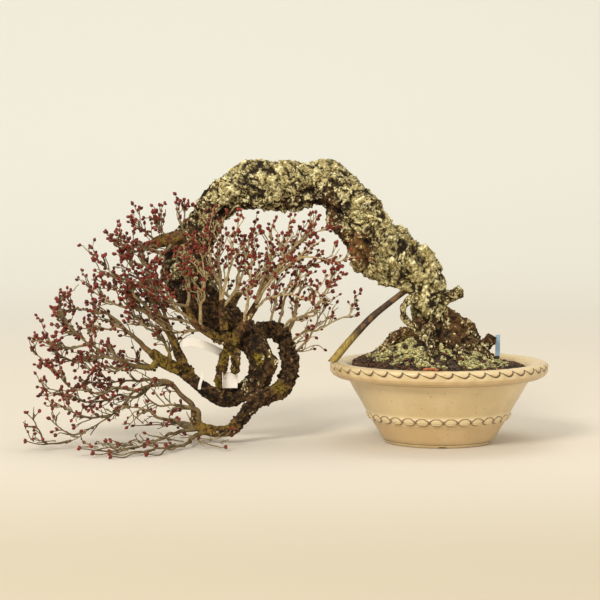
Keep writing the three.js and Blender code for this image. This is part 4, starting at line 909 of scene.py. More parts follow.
def bud_scales(tree, shader):
    """Buds: a dark brown cup at the base, crimson scales above, darker or brighter bud by bud."""
    scale = speckled(tree, 1.4, 0.6)
    red = mixed(tree, mask_of(tree, "tint"), BUD_CRIMSON, BUD_RED)
    marbled = mixed(tree, maths(tree, "MULTIPLY", scale.outputs["Value"], 0.5), red, BUD_MARBLING)
    cup = ranged(tree, mask_of(tree, "height"), 0.34, 0.16)
    coloured(tree, shader, mixed(tree, cup, marbled, BUD_CUP))
    bumped(tree, shader, scale.outputs["Height"], 0.3)


def cream_glaze(tree, shader):
    """Pot: cream glaze with faint clouds and pinholes, painted shade under the rim and belt and a painted
    highlight on raised parts by masks, and brown painted shade in the grooves and creases.
    """
    cloud = speckled(tree, 60.0, 0.0)
    fleck = speckled(tree, 2.4, 1.0)
    stain = speckled(tree, 16.0, 0.2)
    body = mixed(tree, ranged(tree, cloud.outputs["Value"], 0.3, 0.7), GLAZE_CREAM, GLAZE_LIGHT)
    stains = ranged(tree, stain.outputs["Value"], 0.62, 0.8, 0.0, 0.25)
    pinholes = ranged(tree, fleck.outputs["Value"], 0.986, 0.994, 0.0, 0.5)
    flecked = mixed(tree, pinholes, mixed(tree, stains, body, GLAZE_STAIN), GLAZE_PINHOLE)
    # Under the rim and the belt the glaze is painted darker: painted shade.
    warm = mixed(tree, mask_of(tree, "warm"), flecked, GLAZE_UNDER_SHADE)
    # The pale mask lightens raised parts and the upper wall: painted highlight.
    lit = mixed(tree, mask_of(tree, "pale"), warm, GLAZE_HIGHLIGHT)
    # Grooves and creases go brown: painted shade.
    coloured(tree, shader, mixed(tree, mask_of(tree, "groove"), lit, GLAZE_GROOVE_SHADE))
    bumped(tree, shader, stain.outputs["Height"], 0.25)


def granules(tree, shader):
    """Soil: dark brown crumbs, and whole granules of red-brown where the mask is set."""
    grain = speckled(tree, 3.0, 0.85)
    dark = mixed(tree, ranged(tree, grain.outputs["Value"], 0.2, 0.9), SOIL_DARK, SOIL_BROWN)
    coloured(tree, shader, mixed(tree, mask_of(tree, "rust"), dark, SOIL_RED))
    bumped(tree, shader, grain.outputs["Height"], 1.2)


def cushion_moss(tree, shader):
    """Moss: green to yellow by patches, pale at the high tips, brown low between the tufts."""
    grain = speckled(tree, 2.4, 0.7)
    patch = speckled(tree, 20.0, 0.2)
    green = mixed(tree, ranged(tree, patch.outputs["Value"], 0.35, 0.62), MOSS_GREEN, MOSS_YELLOW)
    tip = mixed(tree, patchy(tree, "height", grain, 0.3, 0.75), green, MOSS_TIP)
    coloured(tree, shader, mixed(tree, ranged(tree, mask_of(tree, "height"), 0.6, 0.22), tip, MOSS_ROOT))
    bumped(tree, shader, grain.outputs["Height"], 1.4)


def prop_bark(tree, shader):
    """Prop: olive yellow at its foot, mottled dark brown and tan above, with fine streaks along it."""
    place = node(tree, "TexCoord").outputs["Object"]
    drawn_out = node(tree, "Mapping", {"Vector": place, "Rotation": (0.0, math.radians(41), 0.0),
                                       "Scale": (420.0, 420.0, 60.0)})
    streak = node(tree, "TexNoise", {"Vector": drawn_out.outputs[0], "Scale": 1.0, "Detail": 4.0}).outputs[0]
    patch = speckled(tree, 16.0, 0.3)
    mottled = mixed(tree, ranged(tree, patch.outputs["Value"], 0.35, 0.62), PROP_DARK, PROP_TAN)
    upper = mixed(tree, ranged(tree, streak, 0.45, 0.75, 0.0, 0.5), mottled, PROP_STREAK)
    lower = mixed(tree, ranged(tree, streak, 0.35, 0.7), PROP_OLIVE, PROP_YELLOW)
    coloured(tree, shader, mixed(tree, mask_of(tree, "foot"), upper, lower))
    bumped(tree, shader, streak, 0.5)


def plain_finish(size, cells, dark, light, distance_mm):
    """A finish of one grain: two colours mixed by its value, and its height as low relief."""
    def build(tree, shader):
        grain = speckled(tree, size, cells)
        coloured(tree, shader, mixed(tree, grain.outputs["Value"], dark, light))
        bumped(tree, shader, grain.outputs["Height"], distance_mm)
    return build


def studio_paper(tree, shader):
    """Pale paper: darker and warmer in front of the pot as painted shade, and paler with the distance from it
    in metres.
    """
    place = node(tree, "TexCoord").outputs["Object"]
    away = node(tree, "VectorMath", {0: place}, operation="LENGTH").outputs["Value"]
    depth = node(tree, "SeparateXYZ", {0: place}).outputs["Y"]
    # The floor in front of the pot is painted darker: painted shade.
    floor = mixed(tree, ranged(tree, depth, -1.0, -0.1), FLOOR_FRONT_SHADE, FLOOR_BACK)
    coloured(tree, shader, mixed(tree, ranged(tree, away, 0.8, 4.4), floor, FAR_PAPER))


TRUNK_BARK = finished("trunk_bark", old_bark, 0.92, Specular_IOR_Level=0.2)
TWIG_BARK = finished("twig_bark", young_bark, 0.78, Specular_IOR_Level=0.25)
BUD_SCALES = finished("bud_scales", bud_scales, 0.5, Specular_IOR_Level=0.25)
CREAM_GLAZE = finished("cream_glaze", cream_glaze, 0.36, Coat_Weight=0.25, Coat_Roughness=0.3)
GRANULAR_SOIL = finished("granular_soil", granules, 0.95)
MOSS = finished("moss", cushion_moss, 0.95, Sheen_Weight=0.3)
PROP_BARK = finished("prop_bark", prop_bark, 0.7)
PLAIN_PAPER = finished("plain_paper", plain_finish(9.0, 0.0, PAPER_SHADED, PAPER_LIGHT, 0.2), 0.6)
PALE_BLUE = finished("pale_blue_strip", plain_finish(12.0, 0.1, BLUE_DARK, BLUE_LIGHT, 0.1), 0.45)
SCREEN_MESH = finished("screen_mesh", plain_finish(3.0, 0.5, SCREEN_DARK, SCREEN_GREY, 0.3), 0.65)
STUDIO_PAPER = finished("studio_paper", studio_paper, 0.95)


# Trunk and limbs

def flaky(spots, coarse, rise):
    """Crusty folds, |noise| ^ 0.7, with plate steps and grit: (height, crack and shade, plate's number); the
    dark mask over plate cracks, creases and low valleys is painted shade.
    """
    bent = spots + 0.6 * coarse * np.stack([noise(spots, coarse * 0.7, k) for k in (11, 12, 13)], axis=-1)
    border, own = plates(bent, coarse * 0.7, 20)
    folds = np.abs(noise(bent, coarse * 2.1, 41))
    wrinkles = np.abs(noise(bent, coarse * 0.95, 42))
    crack = (1 - eased(0.0, 0.16, border)) * eased(-0.6, 0.3, noise(spots, coarse * 1.6, 44))
    crease = np.maximum(1 - eased(0.0, 0.13, folds), 0.7 * (1 - eased(0.0, 0.15, wrinkles)))
    grit = 0.5 * noise(spots, 3.6, 43) + 0.3 * noise(spots, 2.2, 45)
    height = 3.0 * folds**0.7 + 1.7 * wrinkles**0.8 - 2.4 + 1.1 * (own - 0.5) - 0.6 * crack + grit
    # Creases and low valleys join the cracks in the dark mask: painted shade.
    valley = 0.6 * eased(-0.5, -1.9, height)
    return rise * height, np.clip(0.6 * crack + crease + valley, 0, 1), own


def near_spot(spots, x, y, z, reach):
    """exp(-d^2 / 2 w^2), with d the distance from the spot's middle and w its reach."""
    return np.exp(-np.sum((spots - (x, y, z)) ** 2, axis=-1) / (2 * reach**2))


def lumped(spots, reach, lumps):
    """Adds to the reach the growth of each lump times exp(-d^2 / 2 w^2)."""
    for x, y, z, growth, width in lumps:
        reach = reach + growth * near_spot(spots, x, y, z, width)
    return reach


def near_moss(spots):
    """The largest exp(-d^2 / 2 w^2) of the spots where moss grows on the wood."""
    return np.maximum.reduce([near_spot(spots, *spot) for spot in MOSS_SPOTS])


def knotty(path, outward, radius, run, angle):
    """Trunk: radius (0.95 + waves round and along), plus lumps, less cavities, plus noise and flaky plates.

    The crest is lowered by its height and its share of up. Flutes run up the foot as |cos f| ^ 0.6, with
    f = 9 angle + run / 26 + 2 noise. Lichen covers by noise, plates and upward faces, less on the foot, the
    old lower end, the left, the underside and the shaded spot, and more at its own spot. The extra lichen on
    upward faces is a painted lighter top, and the bare dark bark on the underside and at the shaded spot is
    painted shade.
    """
    waves = (0.07 * np.sin(2 * angle + run / 38) + 0.06 * np.sin(3 * angle - run / 23 + 1.3)
             + 0.05 * np.sin(5 * angle + run / 17 + 0.7))
    base = radius * (0.95 + waves)
    base = lumped(path + outward * base[..., None], base, TRUNK_LUMPS)
    spots = path + outward * base[..., None]
    x, z, upward = spots[..., 0], spots[..., 2], outward[..., 2]
    cavity = np.zeros(base.shape)
    for *middle, depth, width in CAVITIES:
        mouth = near_spot(spots, *middle, width)
        base = base - depth * mouth
        # The cavity's mouth is painted dark: painted shade.
        cavity = np.maximum(cavity, eased(0.35, 0.9, mouth))
    base = base + radius * (0.085 * noise(spots, 21, 58) + 0.045 * noise(spots, 12, 59))
    base = base - CREST_DROP * eased(*CREST_Z, z) * np.clip(upward, 0, 1)
    height, crack, flake = flaky(spots, OLD_PLATE, np.clip(radius / 30, 0.45, 1) * 2.5)

    old_end = eased(*OLD_END_X, x) * eased(*OLD_END_Z, z)
    foot = eased(*FOOT_Z, z) * eased(*FOOT_X, x)
    left = eased(*LEFT_PART_X, x) * (1 - old_end)
    under = eased(-0.2, -0.9, upward)
    flute = np.abs(np.cos(9 * angle + run / 26 + 2 * noise(spots, 26, 57)))
    height = height + foot * (2.2 * flute**0.6 - 2.4)
    # The flutes' troughs join the dark mask as painted shade.
    crack = np.maximum(crack, 0.8 * foot * eased(0.35, 0.05, flute))

    # Upward faces get more lichen and the underside and shaded spot less: a painted lighter top and painted
    # shade.
    cover = (0.64 + 0.26 * noise(spots, 28, 51) + 0.22 * noise(spots, 10, 52) + 0.06 * upward
             + 0.3 * (flake - 0.5) - 0.6 * old_end - 0.55 * foot - 0.26 * left - 0.22 * under
             - 0.6 * near_spot(spots, *SHADED_SPOT) + 0.42 * near_spot(spots, *LICHEN_SPOT))
    worn = np.maximum(near_spot(spots, *WORN_SPOT), 0.45 * foot)
    moss = np.clip(near_moss(spots) + old_end * (0.7 * noise(spots, 16, 53) - 0.2), 0, 1)
    return base + height, {"crack": crack, "flake": flake, "cavity": cavity, "lichen": cover - 0.35 * worn,
                           "worn": worn, "moss": moss}


def rough_bark(cover, moss_amount, plate, rise, worn=0.2):
    """Relief of a lesser limb: radius (1 + 0.08 sin(3a + run/9) + 0.05 sin(2a - run/6)) and small plates.

    Lichen and moss cover it by their amounts plus noise, and moss also by its spots.
    """
    def relief(path, outward, radius, run, angle):
        base = radius * (1 + 0.08 * np.sin(3 * angle + run / 9) + 0.05 * np.sin(2 * angle - run / 6))
        spots = path + outward * base[..., None]
        height, crack, flake = flaky(spots, plate, rise)
        moss = np.clip(moss_amount + 0.8 * noise(spots, 15, 54) + 0.2 * outward[..., 2], 0, 1)
        moss = np.maximum(moss * (moss_amount > 0), near_moss(spots))
        lichen_cover = cover + 0.25 * noise(spots, 12, 55) - moss
        return base + height, {"crack": crack, "flake": flake, "lichen": lichen_cover, "moss": moss,
                               "worn": worn + 0 * crack, "cavity": 0 * crack}
    return relief


def bark_tube(route, step, sides, relief, tip=0.5):
    """A tube along a drawn route, with a ring every step and its bark's relief."""
    path, radii = smoothed(*placed(route), step)
    return tube(path, radii, sides, relief, tip)


def under_top(points):
    """Heights near the box's top close in on it: top - room exp(-(z - top + room) / room)."""
    top = cad_box[1][2] / MM - TOP_GAP
    above = points[:, 2] - top + TOP_ROOM
    height = np.where(above > 0, top - TOP_ROOM * np.exp(-np.maximum(above, 0) / TOP_ROOM), points[:, 2])
    return np.column_stack([points[:, :2], height])


arch_points, *arch_faces = bark_tube(TRUNK_ROUTE, step=1.45, sides=112, relief=knotty)
coil_bark = rough_bark(cover=-0.02, moss_amount=0.0, plate=5.6, rise=2.2, worn=0.0)
root_bark = rough_bark(cover=0.22, moss_amount=0.0, plate=6.5, rise=2.0, worn=0.25)
knob_bark = rough_bark(cover=0.5, moss_amount=0.0, plate=5.5, rise=1.1)
pale_bark = rough_bark(cover=0.55, moss_amount=0.0, plate=4.5, rise=0.7)
hub_bark = rough_bark(cover=0.2, moss_amount=0.3, plate=6.5, rise=1.5, worn=0.12)
limb_bark = rough_bark(cover=0.1, moss_amount=0.1, plate=4.2, rise=0.5, worn=0.4)

coil_patches = [bark_tube(COIL_ROUTE, step=1.2, sides=72, relief=coil_bark)]
for route in (HUB_ROUTE, HUB_STUB, *LIMB_FORKS):
    coil_patches.append(bark_tube(route, step=1.2, sides=44, relief=hub_bark))
base_patches = [
    bark_tube(ROOTS[0], step=1.3, sides=48, relief=root_bark),
    bark_tube(ROOTS[1], step=1.3, sides=56, relief=root_bark),
    bark_tube(ROOTS[2], step=1.3, sides=76, relief=root_bark),
    bark_tube(ROOTS[3], step=1.2, sides=36, relief=knob_bark),
    *[bark_tube(route, step=1.4, sides=44, relief=root_bark) for route in ROOTS[4:]],
    bark_tube(KNOB, step=1.2, sides=52, relief=knob_bark),
    bark_tube(DEADWOOD, step=1.1, sides=36, relief=pale_bark),
    bark_tube(STUMP, step=1.2, sides=44, relief=root_bark, tip=0.05),
]

piece("trunk_arch", (under_top(arch_points), *arch_faces), TRUNK_BARK, ["trunk"])
piece("trunk_coil", merged(coil_patches), TRUNK_BARK, ["trunk"])
piece("trunk_base", merged(base_patches), TRUNK_BARK, ["trunk"])


# Shoots, twigs and buds

def dice(seed):
    """Repeatable draws from 0 to 1: the state times 16807, less whole multiples of 2147483647."""
    most = 2147483647
    state = (seed * 7919 + 104729) % most
    while True:
        state = state * 16807 % most
        yield state / most


def shoot_path(radius, route):
    """Points of a shoot on their sight lines; it rests on the floor by a radius that falls as share ^ 0.7."""
    route = np.array(route, float)
    share = np.linspace(0, 1, len(route))
    resting = radius + (SHOOT_TIP - radius) * share**0.7
    resting[-1] = max(resting[-1], BUD_RADIUS)
    return settled(seen_at(route), resting)


def thinned(path):
    """Every second point and the last, for a route of six points or more."""
    if len(path) < 6:
        return path
    return path[sorted(set(range(0, len(path), 2)) | {len(path) - 1})]


def twig_ends(coarse, smooth, seed, lift):
    """Side twigs, each a golden angle on from the last: (root on the smooth shoot, end, way of the shoot).

    A twig's heading mixes the shoot's way, its own side, away from the crown's heart, and up by the lift.
    Its reach falls along the shoot.
    """
    draws = dice(seed)
    count = round(run_lengths(coarse)[-1] / TWIG_SPACING)
    twigs = []
    for i in range(count):
        share = 0.14 + 0.84 * ((i + 0.2 + 0.6 * next(draws)) / count)
        at, along = on_path(coarse, share)
        turn = i * GOLDEN_ANGLE + next(draws)
        level = across(along)
        side = level * math.cos(turn) + np.cross(along, level) * math.sin(turn)
        reach = TWIG_REACH * (0.55 + 0.75 * next(draws)) * (1.2 - 0.55 * share)
        heading = unit(0.5 * along + 0.8 * side + 0.3 * unit(at - CROWN_HEART) + lift * UP)
        end = at + heading * reach + UP * 0.12 * reach
        twigs.append((on_path(smooth, share)[0], settled(end[None], BUD_RADIUS)[0], along))
    return twigs


def crooked(path, size, amount, salt):
    """Small bends: noise of the given size times the amount, eased to none at the two ends."""
    share = run_lengths(path) / run_lengths(path)[-1]
    ease = np.minimum(1, 6 * np.minimum(share, 1 - share))[:, None]
    push = np.stack([noise(path, size, salt + k) for k in range(3)], axis=-1)
    return path + amount * ease * push


stems = {}
buds = {}


def bud_chance(point):
    """Buds crowd the upper crown and the far left tips; the low and inner twigs are nearly bare."""
    upper = eased(*UPPER_CROWN_Z, point[2])
    outer = eased(*FAR_TIPS_X, point[0])
    low = eased(*LOW_TWIGS_Z, point[2])
    over_floor = 1 - 0.85 * eased(*FLOOR_TWIGS_Z, point[2])
    crowd = 0.13 + 0.44 * upper + 0.4 * outer * (1 - upper) * (1 - 0.6 * low)
    return over_floor * float(np.clip(crowd, 0, 0.68))


def grow_twig(name, root, end, lead, radius, rng, depth=0):
    """A twig root + (end - root) t + bow t (1 - t), with side buds, short spurs and a cluster at its end."""
    length = np.linalg.norm(end - root)
    t = np.linspace(0, 1, max(4, int(length / TWIG_STEP)))[:, None]
    bow = 0.28 * length * lead + rng.normal(0, 0.12 * length, 3)
    path = root + (end - root) * t + bow * t * (1 - t)
    radii = radius + (TWIG_TIP - radius) * t[:, 0]
    path = settled(crooked(path, TWIG_BEND_SIZE, TWIG_BEND, salt=60), radii)
    stems.setdefault(name, []).append((path, radii, TWIG_SIDES, 0.0))
    along = unit(path[-1] - path[-2])
    chance = bud_chance(path[-1])
    if rng.random() < chance + 0.25:
        bud_cluster(name, path[-1], along, rng, rng.choice([1, 2, 2, 3]) + (chance > 0.6))
    for share in np.arange(0.34, 0.95, BUD_SPACING / max(length, 12.0)):
        at, way = on_path(path, share + rng.uniform(-0.04, 0.04))
        side = unit(np.cross(way, rng.normal(size=3)))
        if depth == 0 and rng.random() < SPUR_CHANCE:
            reach = rng.uniform(*SPUR_REACH)
            tip = settled((at + reach * unit(0.7 * way + 0.8 * side + 0.25 * UP))[None], BUD_RADIUS)[0]
            if free_of_box(tip):
                grow_twig(name, at, tip, way, radius * 0.85, rng, depth=1)
        elif rng.random() < chance * (0.35 + 0.6 * share):
            bud_cluster(name, at + side * 0.6, unit(0.6 * way + 0.8 * side), rng, 1)


def bud_cluster(name, at, way, rng, count):
    """Buds side by side: each leans from the way by a little, further when there are more."""
    for _ in range(count):
        lean = unit(way + rng.normal(0, 0.16 + 0.2 * (count > 1), 3))
        size = rng.uniform(*BUD_SIZES)
        base = at - lean * 0.4
        if free_of_box(base + lean * BUD_LENGTH * 0.2):
            buds.setdefault(name, []).append((*base, *lean, size, rng.random()))


def twig_sets(name):
    """The sets of side twigs of a spray: two on an open one, four on a full one, three on the others."""
    if name in OPEN_SPRAYS:
        return TWIG_SETS[:2]
    return TWIG_SETS[:4 if name in FULL_SPRAYS else 3]


def grow_spray(name, shoots, seed):
    """Each shoot with its side twigs, a cluster at its tip and, where buds crowd, single ones along it."""
    lift = LOW_LIFT if name == "spray_low" else CROWN_LIFT
    rng = np.random.default_rng(seed)
    for k, (radius, route) in enumerate(shoots):
        coarse = shoot_path(radius, route)
        path = smooth_path(coarse, SHOOT_STEP)
        share = run_lengths(path) / run_lengths(path)[-1]
        radii = THIN_TIP + (radius - THIN_TIP) * (1 - share) ** 1.5
        path = crooked(path, SHOOT_BEND_SIZE, SHOOT_BEND, salt=70)
        stems.setdefault(name, []).append((path, radii, SHOOT_SIDES, min(1.0, (radius - 2) / 3)))
        for extra, reach in twig_sets(name):
            for root, end, along in twig_ends(thinned(coarse), path, seed * 100 + k + extra, lift):
                end = root + (end - root) * reach
                crowded_floor = root[2] < LOW_ROOT and reach != 1.0
                if free_of_box(end) and not crowded_floor:
                    grow_twig(name, root, end, along, TWIG_ROOT, rng)
        bud_cluster(name, path[-1], unit(path[-1] - path[-3]), rng, 3)
        if bud_chance(path[-1]) > CROWDED:
            for share in rng.uniform(0.55, 0.97, int(run_lengths(path)[-1] / CLUSTER_SPACING)):
                at, way = on_path(path, share)
                side = unit(np.cross(way, rng.normal(size=3)))
                bud_cluster(name, at + side * 0.7, unit(0.5 * way + side), rng, rng.choice([1, 2]))


def stem_masks(path, radii, stout):
    """Girth rises with a stout stem's radius, moss is near its spots, shade is on low and inner stems."""
    shade = eased(*INNER_STEMS_X, path[:, 0]) * 0.8 + eased(*LOW_STEMS_Z, path[:, 2]) * 0.6
    girth = np.clip(stout * np.clip((radii - 1.2) / 3, 0, 1), 0, 1)
    return {"girth": girth[:, None], "moss": near_moss(path)[:, None], "shade": np.clip(shade, 0, 1)[:, None]}


def bud_surface(rows):
    """Buds: base + size (width(h) (u cos a + v sin a) + length h way); the width swells, then closes."""
    rows = np.array(rows)
    base, way, size, tint = rows[:, :3], rows[:, 3:6], rows[:, 6], rows[:, 7]
    helper = np.where(np.abs(way[:, 2:3]) < STEEP_SHARE, UP, (1.0, 0.0, 0.0))
    u = unit(np.cross(way, helper))
    v = np.cross(way, u)
    heights = np.array(BUD_HEIGHTS)
    widths = np.array(BUD_WIDTHS) * BUD_RADIUS * BUD_PLUMP
    angle = np.arange(BUD_SIDES) / BUD_SIDES * TURN
    ring = (u[:, None, None] * np.cos(angle)[:, None] + v[:, None, None] * np.sin(angle)[:, None])
    grid = (base[:, None, None] + size[:, None, None, None] * (
        ring * widths[:, None, None] + way[:, None, None] * (heights * BUD_LENGTH)[:, None, None]))
    end = base + way * (size * BUD_LENGTH)[:, None]
    points = np.concatenate([grid.reshape(len(rows), -1, 3), base[:, None], end[:, None]], axis=1)
    count = points.shape[1]
    shift = np.arange(len(rows))[:, None, None] * count
    _, quads, fans, _ = closed_rings(grid[0], base[0], end[0])
    height = np.tile(np.concatenate([np.repeat(heights, BUD_SIDES), [0, 1]]), len(rows))
    return (points.reshape(-1, 3), (quads + shift).reshape(-1, 4), (fans + shift).reshape(-1, 3),
            {"tint": np.repeat(tint, count), "height": height})


grow_spray("trunk", COIL_SHOOTS, 1)
for number, (spray, (_, shoots)) in enumerate(SPRAYS.items()):
    grow_spray(spray, shoots, number + 2)

for spray, paths in stems.items():
    patches = [tube(path, radii, sides, masks=stem_masks(path, radii, stout))
               for path, radii, sides, stout in paths]
    piece(f"stems_{spray}", merged(patches), TWIG_BARK, [spray])
    piece(f"buds_{spray}", bud_surface(buds[spray]), BUD_SCALES)
    if spray in SPRAYS:
        limb_patch = bark_tube(SPRAYS[spray][0], step=1.2, sides=40, relief=limb_bark)
        piece(f"limb_{spray}", limb_patch, TRUNK_BARK, [spray])


# Pot

def pot_grid():
    """The section's rows, straight between its points, all round: (radius, height, angle, on the outside)."""
    rows = []
    for (r1, z1, count), (r2, z2, _) in zip(POT_PROFILE, POT_PROFILE[1:]):
        share = np.arange(count)[:, None] / count
        rows.append(np.array([[r1, z1]]) * (1 - share) + np.array([[r2, z2]]) * share)
    profile = np.vstack([*rows, [POT_PROFILE[-1][:2]]])
    radius = np.repeat(profile[:, :1], POT_SIDES, axis=1)
    height = np.repeat(profile[:, 1:], POT_SIDES, axis=1)
    angle = np.broadcast_to(np.arange(POT_SIDES) / POT_SIDES * TURN, radius.shape)
    last_row = np.argmax(profile[:, 0] >= RIM_WIDEST) + ROWS_OVER_RIM
    return radius, height, angle, np.arange(len(profile))[:, None] <= last_row


def belt_relief(angle, height):
    """Pressed lobes, each a dome over a scalloped lower edge, joined by a smooth band: (push, line painted
    dark as shade).
    """
    phase = (angle / TURN * BELT_LOBES) % 1 - 0.5
    low = BELT_LOW + SCALLOP * np.abs(2 * phase) ** 2.4
    oval = (phase / DOME_HALF_WIDTH) ** 2 + ((height - BELT_LOW - SCALLOP) / DOME_HALF_HEIGHT) ** 2
    dome = np.clip(1 - oval, 0, 1) ** 0.5
    top = eased(BELT_HIGH + 0.5, BELT_HIGH - 4.5, height)
    edge = eased(low - 0.25, low + 0.55, height)
    band = 0.62 * eased(BELT_LOW + 2.4, BELT_LOW + 5.4, height)
    push = BELT_PROUD * edge * top * np.maximum(dome, band)
    upper = eased(BELT_LOW + 2, BELT_LOW + 5, height) * (height < BELT_HIGH)
    round_dome = eased(0.3, 0.05, np.abs(oval - 1)) * upper
    under_edge = eased(0.9, 0.0, np.abs(height - low + 0.1)) * (height < BELT_LOW + 6)
    line = np.maximum(round_dome, under_edge)
    return push - 0.7 * line * upper, line * (height > BELT_LOW - 2) * (height < BELT_HIGH)


def rim_relief(angle, height):
    """Slanted lobes: a groove falls fast and rises slowly under a crowned pad: (push, line, pad)."""
    phase = (angle / TURN * RIM_LOBES + (height - 116) * 0.045) % 1
    fall = np.where(phase < RIM_GROOVE_FOLD, (RIM_GROOVE_FOLD - phase) / RIM_GROOVE_FOLD,
                    (phase - RIM_GROOVE_FOLD) / (1 - RIM_GROOVE_FOLD))
    away = height - (RIM_GROOVE_LOW + RIM_GROOVE_RISE * fall**1.8)
    line = eased(1.7, 0.3, np.abs(away))
    pad = eased(0, 3, away) * (1 - 0.6 * fall) * eased(122.5, 118, height)
    return 1.3 * pad - 1.5 * line, line, pad


def cream_pot():
    """The section turned round, pushed out by belt and rim lobes, a wavy lip and faint throwing rings.

    Its masks: dark painted shade in the lines of the relief and the creases, painted shade under the rim and
    under the belt, and a painted highlight on the rim's pads, the belt and the wall above it.
    """
    radius, height, angle, outside = pot_grid()
    belt = outside & (height > BELT_FROM) & (height < BELT_TO)
    rim = outside & (height > RIM_FROM)
    belt_push, belt_line = belt_relief(angle, height)
    rim_push, rim_line, pad = rim_relief(angle, height)
    wave = np.cos(angle * RIM_LOBES)
    wavy = 0.7 * wave * eased(100, 110, height) * eased(125, 152, radius)
    radius = radius + belt * belt_push + rim * rim_push + wavy
    height = height - 0.45 * wave * eased(112, 120, height) * eased(150, 158, radius)
    thrown = 0.25 * np.sin(height * 1.9) * (height < 95) * (height > 7) + 0.35 * np.sin(2 * angle + 0.4)
    radius = radius + thrown * (radius > 60)

    # The lines of the relief and the foot and lip creases are painted dark: painted shade.
    foot_line = eased(0.9, 0.1, np.abs(height - FOOT_CREASE)) * outside * (radius > 80)
    lip_line = eased(2.2, 0.2, np.abs(height - LIP_CREASE)) * outside * (radius > 130) * (radius < 152)
    lines = [belt * belt_line, rim * rim_line, foot_line * 0.8, lip_line * 0.55]
    groove = np.clip(np.maximum.reduce(lines), 0, 1)
    # Painted shade under the rim and under the belt.
    under_rim = 0.5 * eased(112, 104, height) * (height > 99)
    under_belt = 0.4 * eased(38, 30, height) * (height > 6)
    warm = np.maximum(under_rim, under_belt) * outside
    # A painted highlight on the rim's pads, the belt's band and domes, and the upper wall.
    band = belt * eased(44.0, 45.5, height) * eased(48.5, 47, height)
    wall = outside * eased(48, 84, height) * (height < 97)
    pale = np.clip(0.15 * pad * rim + 0.5 * band + 0.3 * belt * (belt_push > 2.6) + 0.25 * wall, 0, 1)

    x, y = radius * np.cos(angle), radius * np.sin(angle)
    height = np.maximum(np.clip(height, 0, POT_TOP), drain_groove(x, y))
    shell = ring_sheet(np.stack([x, y, height], axis=-1), {"groove": groove, "warm": warm, "pale": pale})
    return merged([shell, *foot_plates(shell[0][:POT_SIDES], shell[0][-POT_SIDES:])])


def drain_groove(x, y):
    """Height of the underside: a flat groove runs from each drain hole straight out to the foot's edge."""
    depth = 0 * x
    for k in range(DRAIN_HOLES):
        turn = (k + DRAIN_TURN) / DRAIN_HOLES * TURN
        out = x * math.cos(turn) + y * math.sin(turn)
        aside = np.abs(y * math.cos(turn) - x * math.sin(turn))
        sunk = eased(DRAIN_GROOVE_HALF_WIDTH + 0.5, DRAIN_GROOVE_HALF_WIDTH - 0.5, aside)
        depth = np.maximum(depth, DRAIN_GROOVE_DEPTH * sunk * (out > DRAIN_FROM_AXIS))
    return depth


def foot_plates(outer, inner):
    """Underside and floor in three thirds, each round one drain hole: rows = hole + share (border - hole)."""
    plates_made = []
    third = POT_SIDES // DRAIN_HOLES
    flat = (1, 1, 0)
    share = np.linspace(0, 1, 7)[:, None, None] ** 1.6
    for k in range(DRAIN_HOLES):
        turn = (k + DRAIN_TURN) / DRAIN_HOLES * TURN
        middle = DRAIN_FROM_AXIS * np.array([math.cos(turn), math.sin(turn), 0.0])
        first = round((k + DRAIN_TURN) * third) - third // 2
        arc = np.arange(first, first + third + 1) % POT_SIDES
        holes = []
        for ring, level in ((outer, 0.0), (inner, FLOOR_TOP)):
            spoke = np.linspace(0, 1, 31)[1:-1, None] * (ring[arc[0]] * flat)
            back = np.linspace(1, 0, 31)[1:, None] * (ring[arc[-1]] * flat)
            border = np.vstack([spoke, ring[arc] * flat, back])
            hole = middle + DRAIN_RADIUS * unit(border - middle)
            grid = hole + (border - hole) * share
            grid[..., 2] = level if level else drain_groove(grid[..., 0], grid[..., 1])
            grid[-1, len(spoke):len(spoke) + len(arc)] = ring[arc]
            plates_made.append(ring_sheet(grid if level else grid[::-1]))
            holes.append(grid[0])
        plates_made.append(ring_sheet(np.stack(holes)))
    return plates_made


def ring_sheet(grid, masks=None):
    """Closed rings joined by quads, open at both ends."""
    points, quads, _, masks = closed_rings(grid, np.zeros(3), np.zeros(3), masks)
    return points[:-2], quads, np.zeros((0, 3), int), {name: mask[:-2] for name, mask in masks.items()}


def welded(made):
    """Joins the plates' borders to the wall and turns every face outward."""
    work = bmesh.new()
    work.from_mesh(made.data)
    bmesh.ops.remove_doubles(work, verts=work.verts, dist=0.01 * MM)
    bmesh.ops.recalc_face_normals(work, faces=work.faces)
    work.to_mesh(made.data)
    work.free()


pot = piece("cream_pot", cream_pot(), CREAM_GLAZE, ["pot"])
welded(pot)
pot.data.set_sharp_from_angle(angle=math.radians(SHARP_DEGREES))


# Soil and moss

def soil_top(x, y):
    """Edge height plus the mound times exp(-d^2 / spread^2), d the distance from the mound's middle."""
    away = ((x - SOIL_MOUND_AT[0]) ** 2 + (y - SOIL_MOUND_AT[1]) ** 2) / SOIL_SPREAD**2
    return SOIL_EDGE_HEIGHT + SOIL_MOUND * np.exp(-away)


def round_grid(radius, sides):
    """Angles of a round grid and its x, y and flat spots, one row a radius."""
    angle = np.arange(sides) / sides * TURN
    x = radius[:, None] * np.cos(angle)
    y = radius[:, None] * np.sin(angle)
    return x, y, np.stack([x, y, 0 * x], axis=-1)


